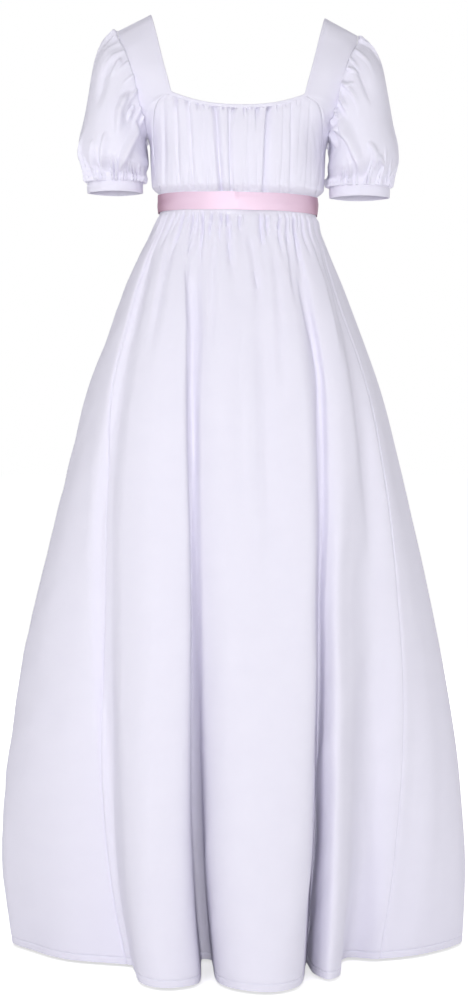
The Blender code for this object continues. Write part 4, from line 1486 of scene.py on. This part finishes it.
    def trough(self, gap: np.ndarray, width: np.ndarray) -> np.ndarray:
        """Return the shape of a gather with one easy and one steep wall."""
        return bell(gap, width * np.where(gap * self.hand < 0.0, EASY_WALL, STEEP_WALL))

    def gathers(self, turn: np.ndarray, place: np.ndarray) -> np.ndarray:
        """Draw in the gathers at cap and cuff, and the cloth's unevenness.

        Args:
            turn: turns round the arm.
            place: fractional rows of SLEEVE.

        Returns:
            The depths.
        """
        draw = np.random.default_rng(self.seed)
        turn = np.mod(turn, 1.0)
        depth = np.zeros_like(turn)
        for index in range(self.cap_gathers):
            centre = (index - (self.cap_gathers - 1) / 2.0) * self.cap_spacing
            centre = centre + draw.uniform(-self.cap_scatter, self.cap_scatter)
            bend = draw.uniform(*self.cap_bends) * place
            gap = np.mod(turn - centre - bend * np.sign(centre) + 0.5, 1.0) - 0.5
            reach = 1.0 - ease(self.gather_clear, draw.uniform(*self.cap_lengths), place)
            shape = self.trough(gap, draw.uniform(*self.cap_widths) * (1.0 + self.cap_spread * place))
            depth += draw.uniform(*self.cap_depths) * reach * shape
        for index in range(self.cuff_gathers):
            centre = (index + draw.uniform(-self.cuff_scatter, self.cuff_scatter)) / self.cuff_gathers
            bend = draw.uniform(-self.cuff_bend, self.cuff_bend) * (self.last - place)
            gap = np.mod(turn - centre - bend + 0.5, 1.0) - 0.5
            low = self.last - draw.uniform(*self.cuff_lengths)
            reach = ease(low, self.last - self.gather_clear, place)
            shape = self.trough(gap, draw.uniform(*self.cuff_widths))
            depth += draw.uniform(*self.cuff_depths) * reach * shape
        depth = depth + self.broad.over(turn, place, self.seed + 1)
        return depth + self.small.over(turn, place, self.seed + 2)

    def cuff(self) -> list:
        """Build the cuff and return its two stitch lines."""
        turn = np.arange(self.round_columns) / self.round_columns
        across, up = np.meshgrid(turn, np.linspace(0.0, 1.0, self.cuff_rows))
        angle = 2.0 * math.pi * (across - 0.25)
        uneven = self.cuff_uneven.over(across, up, self.seed + 5)
        wide = self.radius + (self.cuff_swell * np.sin(math.pi * up) + uneven)
        x = self.hand * self.middle + wide * np.cos(angle)
        z = CUFF_TOP - CUFF_HEIGHT * (1.0 - up) - LEAN * self.hand * self.middle
        sway, waves = self.cuff_wave
        z = z + sway * np.sin(waves * angle)
        grid = ClothGrid(np.stack([x, wide * np.sin(angle), z], axis=-1), ring=True)
        piece = grid.shell("cuff_" + self.name + "_cloth", self.cuff_thickness, self.cloth)
        hand_over(piece, "cuff_" + self.name)
        normals = grid.normals()
        return [grid.points[row] + normals[row] * STITCH_LIFT for row in self.cuff_stitch_rows]


@dataclass
class Sash:
    """The satin ribbon round the raised waist, lapped at the middle of the back."""

    satin: bpy.types.Material
    half_width: float = 0.1207
    front: float = 0.0972
    back: float = 0.0938
    lift: float = 0.0018
    top: float = -0.2747
    bottom: float = -0.3012
    thickness: float = 0.0007
    bow: float = 0.0007
    edge_wave: Wave = Wave(0.0006, 5.0, 1.0)
    upright: Wave = Wave(0.0007, 4.0, 1.2)
    level: Wave = Wave(0.0006, 1.6, 3.0)
    round_columns: int = 320
    rows: int = 17
    lap_lift: float = 0.0011
    lap_reach: tuple = (-0.17, 0.12)
    lap_rise: tuple = (0.02, 0.98)
    lap_columns: int = 26

    def points(self, angle: np.ndarray, up: np.ndarray) -> np.ndarray:
        """Find points of the ribbon.

        Args:
            angle: angles round the waist from the middle of the front.
            up: shares of the ribbon's height.

        Returns:
            The points.
        """
        power = 2.0 / ROUNDNESS
        sine = np.sin(angle)
        cosine = np.cos(angle)
        x = self.half_width * np.sign(sine) * np.abs(sine) ** power
        share = np.abs(cosine) ** power
        y = np.where(cosine > 0.0, -self.front, self.back) * share
        outward = unit(np.stack([x, y, np.zeros_like(x)], axis=-1))
        soft = self.upright.over(angle, up, seed=51) + self.level.over(angle, up, seed=52)
        bow = self.bow * np.sin(math.pi * up)
        edge = self.edge_wave.over(angle, 0.5, seed=53)
        height = self.bottom + (self.top - self.bottom) * up + edge - LEAN * x
        base = np.stack([x, y, height], axis=-1)
        return base + outward * (self.lift + bow + soft)[..., None]

    def build(self) -> None:
        """Build the ribbon and its lap."""
        turns = 2.0 * math.pi * np.arange(self.round_columns) / self.round_columns
        angle, up = np.meshgrid(turns, np.linspace(0.0, 1.0, self.rows))
        grid = ClothGrid(self.points(angle, up), ring=True)
        piece = grid.shell("sash_ribbon_band", self.thickness, self.satin)
        hand_over(piece, "sash")
        before, after = self.lap_reach
        turns = np.linspace(math.pi + before, math.pi + after, self.lap_columns)
        angle, up = np.meshgrid(turns, np.linspace(*self.lap_rise, self.rows))
        points = self.points(angle, up)
        outward = unit(points * np.array((1.0, 1.0, 0.0)))
        lap = ClothGrid(points + outward * self.lap_lift)
        piece = lap.shell("sash_ribbon_lap", self.thickness, self.satin)
        hand_over(piece)


@dataclass(frozen=True)
class Panel:
    """One panel of the skirt: node, seam lines, seed, cut, and whether it tucks under."""

    node: str
    first: int
    last: int
    seed: int
    flat: tuple
    area: float
    tucked: bool


PANELS = (
    Panel("skirt_front", RIGHT_SEAM_LINE, LEFT_SEAM_LINE, 71, (1.20, 1.17), 1.00, False),
    Panel("skirt_back", LEFT_SEAM_LINE, RIGHT_SEAM_LINE + LINES_AROUND, 81, (1.92, 1.17), 1.60, True),
)


@dataclass
class Skirt:
    """The full skirt: a front and a back that meet at two seams, gathered under the sash."""

    cloth: bpy.types.Material
    per_line: int = 12
    low_rows: int = 66
    high_rows: int = 62
    slope_limit: float = 1.2
    back_tick_depths: tuple = (0.0020, 0.0048)
    back_tick_lengths: tuple = (0.03, 0.08)
    back_tick_width: float = 0.0022
    back_tick_span: float = 0.95
    back_tick_scatter: float = 0.03
    tick_wander: Wave = Wave(0.0022, 30.0, 2.3)
    tick_spread: float = 14.0
    tick_start: tuple = (-0.002, 0.007)
    tick_end: tuple = (0.3, 1.5)
    tick_margin: float = 0.3
    sash_clear: float = 0.008
    seam_clear: tuple = (0.004, 0.030)
    broad_levels: tuple = (-0.34, -0.60)
    tuck_columns: tuple = (-0.015, 0.010)
    broad: tuple = (0.0026, 0.085, 0.55)
    fine: tuple = (0.0009, 0.030, 0.22)
    crumple: tuple = (0.00022, 0.011, 0.050)
    seam_depths: tuple = (0.0016, 0.0006)
    seam_width: float = 0.0018
    seam_wave: float = 0.013
    hem_depths: tuple = (0.0010, 0.0006)
    hem_width: float = 0.0012
    hem_wave: float = 0.016

    def __post_init__(self) -> None:
        """Read the sections and work out both sets of fold lines."""
        self.sections = Sections(SKIRT, SKIRT_COLUMNS)
        self.lines = []
        for waist, hip, hip_reach, knee, knee_reach, hem, hem_reach in FOLDS:
            waist_reach = (1.0 - min(abs(waist), 1.0) ** ROUNDNESS) ** (1.0 / ROUNDNESS)
            rows = ((waist, waist_reach), (hip, hip_reach), (knee, knee_reach), (hem, hem_reach))
            self.lines.append(Sections(rows, LINE_COLUMNS))

    def plan(self, height: np.ndarray) -> np.ndarray:
        """Find every fold line's plan point.

        Args:
            height: the heights to look at.

        Returns:
            Points in x and y, by height and fold line.
        """
        levels = np.array((WAIST_SEAM, HIP, KNEE, HEM))
        level = np.interp(-height, -levels, np.arange(4.0))
        section = self.sections.place("height", height)
        half_width, middle, front = (self.sections.value(name, section) for name in SKIRT_COLUMNS[1:])
        last = len(self.lines) - 1
        plan = np.zeros((len(height), LINES_AROUND, 2))
        for index in range(LINES_AROUND):
            back = index > last
            line = self.lines[index - last if back else index]
            place = line.value("place", level)
            reach = line.value("reach", level)
            if back:
                plain = (1.0 - np.minimum(np.abs(place), 1.0) ** ROUNDNESS) ** (1.0 / ROUNDNESS)
                reach = -(plain + (reach - plain) * BACK_FOLD) * BACK_REACH
                place = -place
            plan[:, index, 0] = middle + half_width * place
            plan[:, index, 1] = -front * reach
        return plan

    def form(self, place: np.ndarray, height: np.ndarray) -> np.ndarray:
        """Find points of the skirt's form.

        Args:
            place: fractional fold lines, one for each column.
            height: the height of each row.

        Returns:
            The points, by row and column.
        """
        plan = self.plan(height)
        low = np.floor(place).astype(int)
        before, start, end, after = (plan[:, (low + step) % LINES_AROUND] for step in (-1, 0, 1, 2))
        chord = np.linalg.norm(end - start, axis=-1, keepdims=True)
        start_slope = self.held(end - before, chord, start - before)
        end_slope = self.held(after - start, chord, after - end)
        flat = cubic(start, end, start_slope, end_slope, (place - low)[None, :, None])
        tall = np.broadcast_to(height[:, None, None], (*flat.shape[:2], 1))
        return np.concatenate([flat, tall], axis=-1)

    def held(self, across: np.ndarray, chord: np.ndarray, other: np.ndarray) -> np.ndarray:
        """Hold a slope back so that the curve can't overshoot.

        Args:
            across: the step over both neighbours.
            chord: the length of one step beside the point.
            other: the other step beside it.

        Returns:
            The slope at the point.
        """
        slope = across * 0.5
        most = np.minimum(chord, np.linalg.norm(other, axis=-1, keepdims=True))
        long = np.maximum(np.linalg.norm(slope, axis=-1, keepdims=True), 1e-6)
        return slope * np.minimum(1.0, self.slope_limit * most / long)

    def ticks(self) -> list:
        """Return the waist gathers as fold line place, depth, half width and length."""
        shares = np.array([fold[0] for fold in FOLDS])
        lines = np.arange(len(shares))
        marks = [(float(np.interp(share, shares, lines)), *sizes) for share, *sizes in TICKS]
        draw = np.random.default_rng(seed=17)
        span = self.back_tick_span
        for index in range(len(TICKS)):
            share = -span + 2.0 * span * index / (len(TICKS) - 1)
            share = share + draw.uniform(-self.back_tick_scatter, self.back_tick_scatter)
            place = len(FOLDS) - 1 + float(np.interp(share, shares, lines))
            depth = draw.uniform(*self.back_tick_depths)
            marks.append((place, depth, self.back_tick_width, draw.uniform(*self.back_tick_lengths)))
        return marks

    def gathered(self, grid: ClothGrid, place: np.ndarray, height: np.ndarray) -> np.ndarray:
        """Say how deep the gathers under the sash draw the cloth in.

        Args:
            grid: the panel's form.
            place: fractional fold lines, one for each column.
            height: the height of each row.

        Returns:
            The depths, by row and column.
        """
        arc = grid.arc()
        depth = np.zeros(arc.shape)
        down = WAIST_GATHER_TOP - height
        full, none = self.tick_end
        first = place[0] - self.tick_margin
        last = place[-1] + self.tick_margin
        for index, (mark, deep, half_width, length) in enumerate(self.ticks()):
            inside = mark if mark >= place[0] - 0.5 else mark + LINES_AROUND
            if not first <= inside <= last:
                continue
            centre = np.array([np.interp(inside, place, row) for row in arc])
            centre = centre + self.tick_wander.over(down, index, seed=61)
            widen = half_width * (1.0 + self.tick_spread * np.clip(down, 0.0, 1.0))
            reach = ease(*self.tick_start, down) * (1.0 - ease(full * length, none * length, down))
            depth += (deep * reach)[:, None] * bell(arc - centre[:, None], widen[:, None])
        return depth

    @staticmethod
    def soft(seed: int, arc: np.ndarray, height: np.ndarray, sizes: tuple) -> np.ndarray:
        """Make soft unevenness.

        Args:
            seed: the seed of its lattice.
            arc: places along the rows.
            height: the height of each row.
            sizes: its depth, and its wave along and up the cloth.

        Returns:
            The depths.
        """
        depth, wave, tall = sizes
        return Ripple(seed).at(arc / wave, height[:, None] / tall) * depth

    def rows(self) -> np.ndarray:
        """Return the heights of the rows, closer at the hem and under the sash."""
        low = np.linspace(HEM + HEM_BAND, DENSE_BELOW, self.low_rows)
        high = np.linspace(DENSE_BELOW, WAIST_SEAM, self.high_rows + 1)[1:]
        return np.concatenate([HEM + np.array(HEM_ROWS), low, high])

    def columns(self, panel: Panel) -> np.ndarray:
        """Place a panel's columns, closer at the seams.

        Args:
            panel: the panel.

        Returns:
            Fractional fold lines.
        """
        count = int(round((panel.last - panel.first) * self.per_line))
        tuck = SEAM_TUCK if panel.tucked else 0.0
        start = panel.first - tuck
        stop = panel.last + tuck
        beside = np.array(SEAM_COLUMNS)
        place = np.linspace(start + SEAM_BAND, stop - SEAM_BAND, count - 1)
        return np.concatenate([start + beside, place, stop - beside[::-1]])

    def panel(self, panel: Panel) -> ClothGrid:
        """Make a panel with its gathers, soft folds, seam puckers and hem line.

        Args:
            panel: the panel.

        Returns:
            The panel's points.
        """
        place = self.columns(panel)
        height = self.rows()
        grid = ClothGrid(self.form(place, height))
        normals = grid.normals()
        arc = grid.arc()
        clear = ease(SASH_BOTTOM, SASH_BOTTOM - self.sash_clear, height)[:, None]
        edge = np.minimum(arc, arc[:, -1:] - arc)
        low = ease(*self.broad_levels, height)[:, None]
        soft = self.soft(panel.seed, arc, height, self.broad) * low
        soft = soft + self.soft(panel.seed + 1, arc, height, self.fine)
        soft = soft + self.soft(panel.seed + 2, arc, height, self.crumple)
        depth = self.gathered(grid, place, height) + soft * clear * ease(*self.seam_clear, edge)
        if panel.tucked:
            past = np.minimum(place - panel.first, panel.last - place)
            depth = depth + SEAM_STEP * (1.0 - ease(*self.tuck_columns, past))[None, :]
        plain, wavy = self.seam_depths
        tall = height[:, None] / self.seam_wave
        pucker = 0.5 + 0.5 * Ripple(panel.seed + 3).at(tall, np.zeros_like(arc))
        depth = depth + clear * bell(edge, self.seam_width) * (plain + wavy * pucker)
        plain, wavy = self.hem_depths
        hem_gap = np.abs(height - (HEM + HEM_STITCH))[:, None]
        wave = 0.5 + 0.5 * Ripple(panel.seed + 4).at(arc / self.hem_wave, np.zeros_like(arc))
        depth = depth + bell(hem_gap, self.hem_width) * (plain + wavy * wave)
        points = grid.points - normals * depth[..., None]
        grid.points = leaned(pressed(points, normals * clear[..., None], SKIRT_CREASES))
        return grid

    def build(self) -> list:
        """Build both panels and return the hem's stitch lines."""
        stitches = []
        for panel in PANELS:
            grid = self.panel(panel)
            piece = grid.shell(panel.node + "_cloth", SHELL, self.cloth)
            hand_over(piece, panel.node)
            row = int(np.argmin(np.abs(grid.points[:, 0, 2] - (HEM + HEM_STITCH))))
            stitches.append(grid.points[row] + grid.normals()[row] * STITCH_LIFT)
        return stitches


@dataclass
class Stitching:
    """Rows of small stitches, laid along lines by one node tree."""

    thread: bpy.types.Material
    length: float = 0.0022
    pitch: float = 0.0031
    thick: float = 0.00042

    def __post_init__(self) -> None:
        """Build the node tree once."""
        self.nodes = self.tree()

    def tree(self) -> bpy.types.NodeTree:
        """Build the tree that lays stitches along a line."""
        tree = bpy.data.node_groups.new("stitches along a line", "GeometryNodeTree")
        make = NodeHelper(tree)
        make.sockets("INPUT", Geometry="Geometry", Pitch="Float", Length="Float", Thickness="Float")
        make.sockets("INPUT", Material="Material")
        make.sockets("OUTPUT", Geometry="Geometry")
        inside = make.add("NodeGroupInput").outputs
        curve = make.add("GeometryNodeMeshToCurve", {0: inside["Geometry"]}).outputs[0]
        points = make.add(
            "GeometryNodeResampleCurve", {"Curve": curve, "Length": inside["Pitch"]}, mode="LENGTH"
        )
        bead = make.add("GeometryNodeMeshUVSphere", {"Segments": 6, "Rings": 4, "Radius": 0.5})
        thick = inside["Thickness"]
        size = make.add("ShaderNodeCombineXYZ", {0: thick, 1: thick, 2: inside["Length"]})
        tangent = make.add("GeometryNodeInputTangent").outputs[0]
        turn = make.add("FunctionNodeAlignRotationToVector", {"Vector": tangent}, axis="Z")
        lay = make.add("GeometryNodeInstanceOnPoints", {
            "Points": points.outputs[0],
            "Instance": bead.outputs["Mesh"],
            "Scale": size.outputs[0],
            "Rotation": turn.outputs[0],
        })
        real = make.add("GeometryNodeRealizeInstances", {0: lay.outputs[0]})
        dress = {"Geometry": real.outputs[0], "Material": inside["Material"]}
        make.add("NodeGroupOutput", {0: make.add("GeometryNodeSetMaterial", dress).outputs[0]})
        return tree

    def sew(self, name: str, lines: list, closed: bool) -> None:
        """Lay stitches along lines and hand the joined mesh over.

        Args:
            name: the piece's name.
            lines: the lines' points.
            closed: whether each line ends where it starts.
        """
        vertices = []
        edges = []
        for line in lines:
            start = len(vertices)
            vertices.extend(line.tolist())
            edges.extend((start + i, start + i + 1) for i in range(len(line) - 1))
            if closed:
                edges.append((start + len(line) - 1, start))
        route = bpy.data.meshes.new(name + "_route")
        route.from_pydata(vertices, edges, [])
        guide = placed(name, route)
        modifier = guide.modifiers.new("stitches", "NODES")
        modifier.node_group = self.nodes
        values = {"Pitch": self.pitch, "Length": self.length, "Thickness": self.thick}
        values["Material"] = self.thread
        for item in self.nodes.interface.items_tree:
            if item.in_out == "INPUT" and item.name in values:
                modifier[item.identifier] = values[item.name]
        graph = bpy.context.evaluated_depsgraph_get()
        mesh = bpy.data.meshes.new_from_object(guide.evaluated_get(graph))
        bpy.data.objects.remove(guide)
        bpy.data.meshes.remove(route)
        if not mesh.uv_layers:
            mesh.uv_layers.new(name="cloth")
        mesh.uv_layers[0].name = "cloth"
        mesh.shade_smooth()
        hand_over(placed(name, mesh))


@dataclass(frozen=True)
class Lamp:
    """A round area light that looks at the middle of the gown."""

    name: str
    place: tuple
    size: float
    power: float
    target: tuple = (0.0, 0.0, -0.6)

    def hang(self) -> None:
        """Hang the lamp."""
        data = bpy.data.lights.new(self.name, "AREA")
        data.shape = "DISK"
        data.size = self.size
        data.energy = self.power
        lamp = placed(self.name, data)
        lamp.location = self.place
        aim = Vector(self.target) - Vector(self.place)
        lamp.rotation_euler = aim.to_track_quat("-Z", "Y").to_euler()


LAMPS = (
    Lamp("front", (-0.006, -3.8, -0.50), 0.40, 44.0),
    Lamp("key", (-0.9, -2.3, 0.5), 0.5, 14.0),
    Lamp("left", (-3.5, 0.30, -0.40), 1.5, 11.0),
    Lamp("right", (3.5, 0.10, -0.40), 1.5, 18.0),
    Lamp("back", (0.5, 3.8, 1.0), 2.4, 66.0),
)


@dataclass
class Studio:
    """Pale floor, soft lights and the camera."""

    camera_place: tuple = (-0.006, -3.7, -0.611)
    horizon_px: float = 417.0
    frame_px: float = 1000.0
    focal_px: float = 2403.0
    sensor: float = 36.0
    floor: float = -1.4265
    floor_reach: float = 30.0
    floor_grey: float = 0.97
    room_light: float = 0.42
    floor_glow: float = 0.60

    def build(self) -> None:
        """Set up the stage."""
        self.build_floor()
        self.build_lights()
        self.build_camera()
        view = bpy.context.scene.view_settings
        view.view_transform = "Standard"
        view.look = "None"
        view.exposure = 0.0
        view.gamma = 1.0

    def build_floor(self) -> None:
        """Lay a plain pale floor."""
        mesh = bpy.data.meshes.new("floor")
        reach = self.floor_reach
        corners = ((-reach, -reach), (reach, -reach), (reach, reach), (-reach, reach))
        mesh.from_pydata([(x, y, self.floor) for x, y in corners], [], [(0, 1, 2, 3)])
        material = bpy.data.materials.new("pale floor")
        material.use_nodes = True
        make = NodeHelper(material.node_tree)
        seen = make.add("ShaderNodeLightPath").outputs["Is Camera Ray"]
        make.fill(material.node_tree.nodes["Principled BSDF"], {
            "Base Color": (self.floor_grey, self.floor_grey, self.floor_grey, 1.0),
            "Emission Color": (1.0, 1.0, 1.0, 1.0),
            "Emission Strength": make.math("MULTIPLY", seen, self.floor_glow),
            "Roughness": 0.9,
            "Specular IOR Level": 0.0,
        })
        mesh.materials.append(material)
        placed("floor", mesh)

    def build_lights(self) -> None:
        """Hang soft area lights in a bright, even room."""
        world = bpy.data.worlds.new("room")
        world.use_nodes = True
        make = NodeHelper(world.node_tree)
        seen = make.add("ShaderNodeLightPath").outputs["Is Camera Ray"]
        lift = make.math("MULTIPLY", seen, 1.0 - self.room_light)
        strength = make.math("ADD", lift, self.room_light)
        white = (1.0, 1.0, 1.0, 1.0)
        make.fill(world.node_tree.nodes["Background"], {"Color": white, "Strength": strength})
        bpy.context.scene.world = world
        for lamp in LAMPS:
            lamp.hang()

    def build_camera(self) -> None:
        """Stand the camera where the photograph was taken from."""
        data = bpy.data.cameras.new("camera")
        data.sensor_width = self.sensor
        data.lens = self.sensor * self.focal_px / self.frame_px
        camera = placed("camera", data)
        camera.location = self.camera_place
        tilt = math.atan((self.frame_px / 2.0 - self.horizon_px) / self.focal_px)
        camera.rotation_euler = (math.pi / 2.0 - tilt, 0.0, 0.0)
        bpy.context.scene.camera = camera


def main() -> None:
    """Build the gown piece by piece."""
    logging.basicConfig(level=logging.INFO, format="%(name)s: %(message)s")
    weave = weave_group()
    cloth, satin, thread = (finish.material(weave) for finish in (GOWN_CLOTH, SASH_SATIN, SEWING_THREAD))
    Studio().build()
    bodice = Bodice(Torso(), cloth)
    bodice.build()
    neck_line = Binding(bodice, cloth).build()
    left = Sleeve(
        bodice, cloth, "left", hand=1.0, cuff_inner=0.1405, cuff_outer=0.2325,
        creases=LEFT_SLEEVE_CREASES, seed=101,
    )
    right = Sleeve(
        bodice, cloth, "right", hand=-1.0, cuff_inner=0.1460, cuff_outer=0.2305,
        creases=RIGHT_SLEEVE_CREASES, seed=121,
    )
    cuff_lines = [line for sleeve in (left, right) for line in sleeve.build()]
    Sash(satin).build()
    hem_lines = Skirt(cloth).build()
    stitching = Stitching(thread)
    stitching.sew("neck_stitches", [neck_line], True)
    stitching.sew("cuff_stitches", cuff_lines, True)
    stitching.sew("hem_stitches", hem_lines, False)


if __name__ == "__main__":
    main()
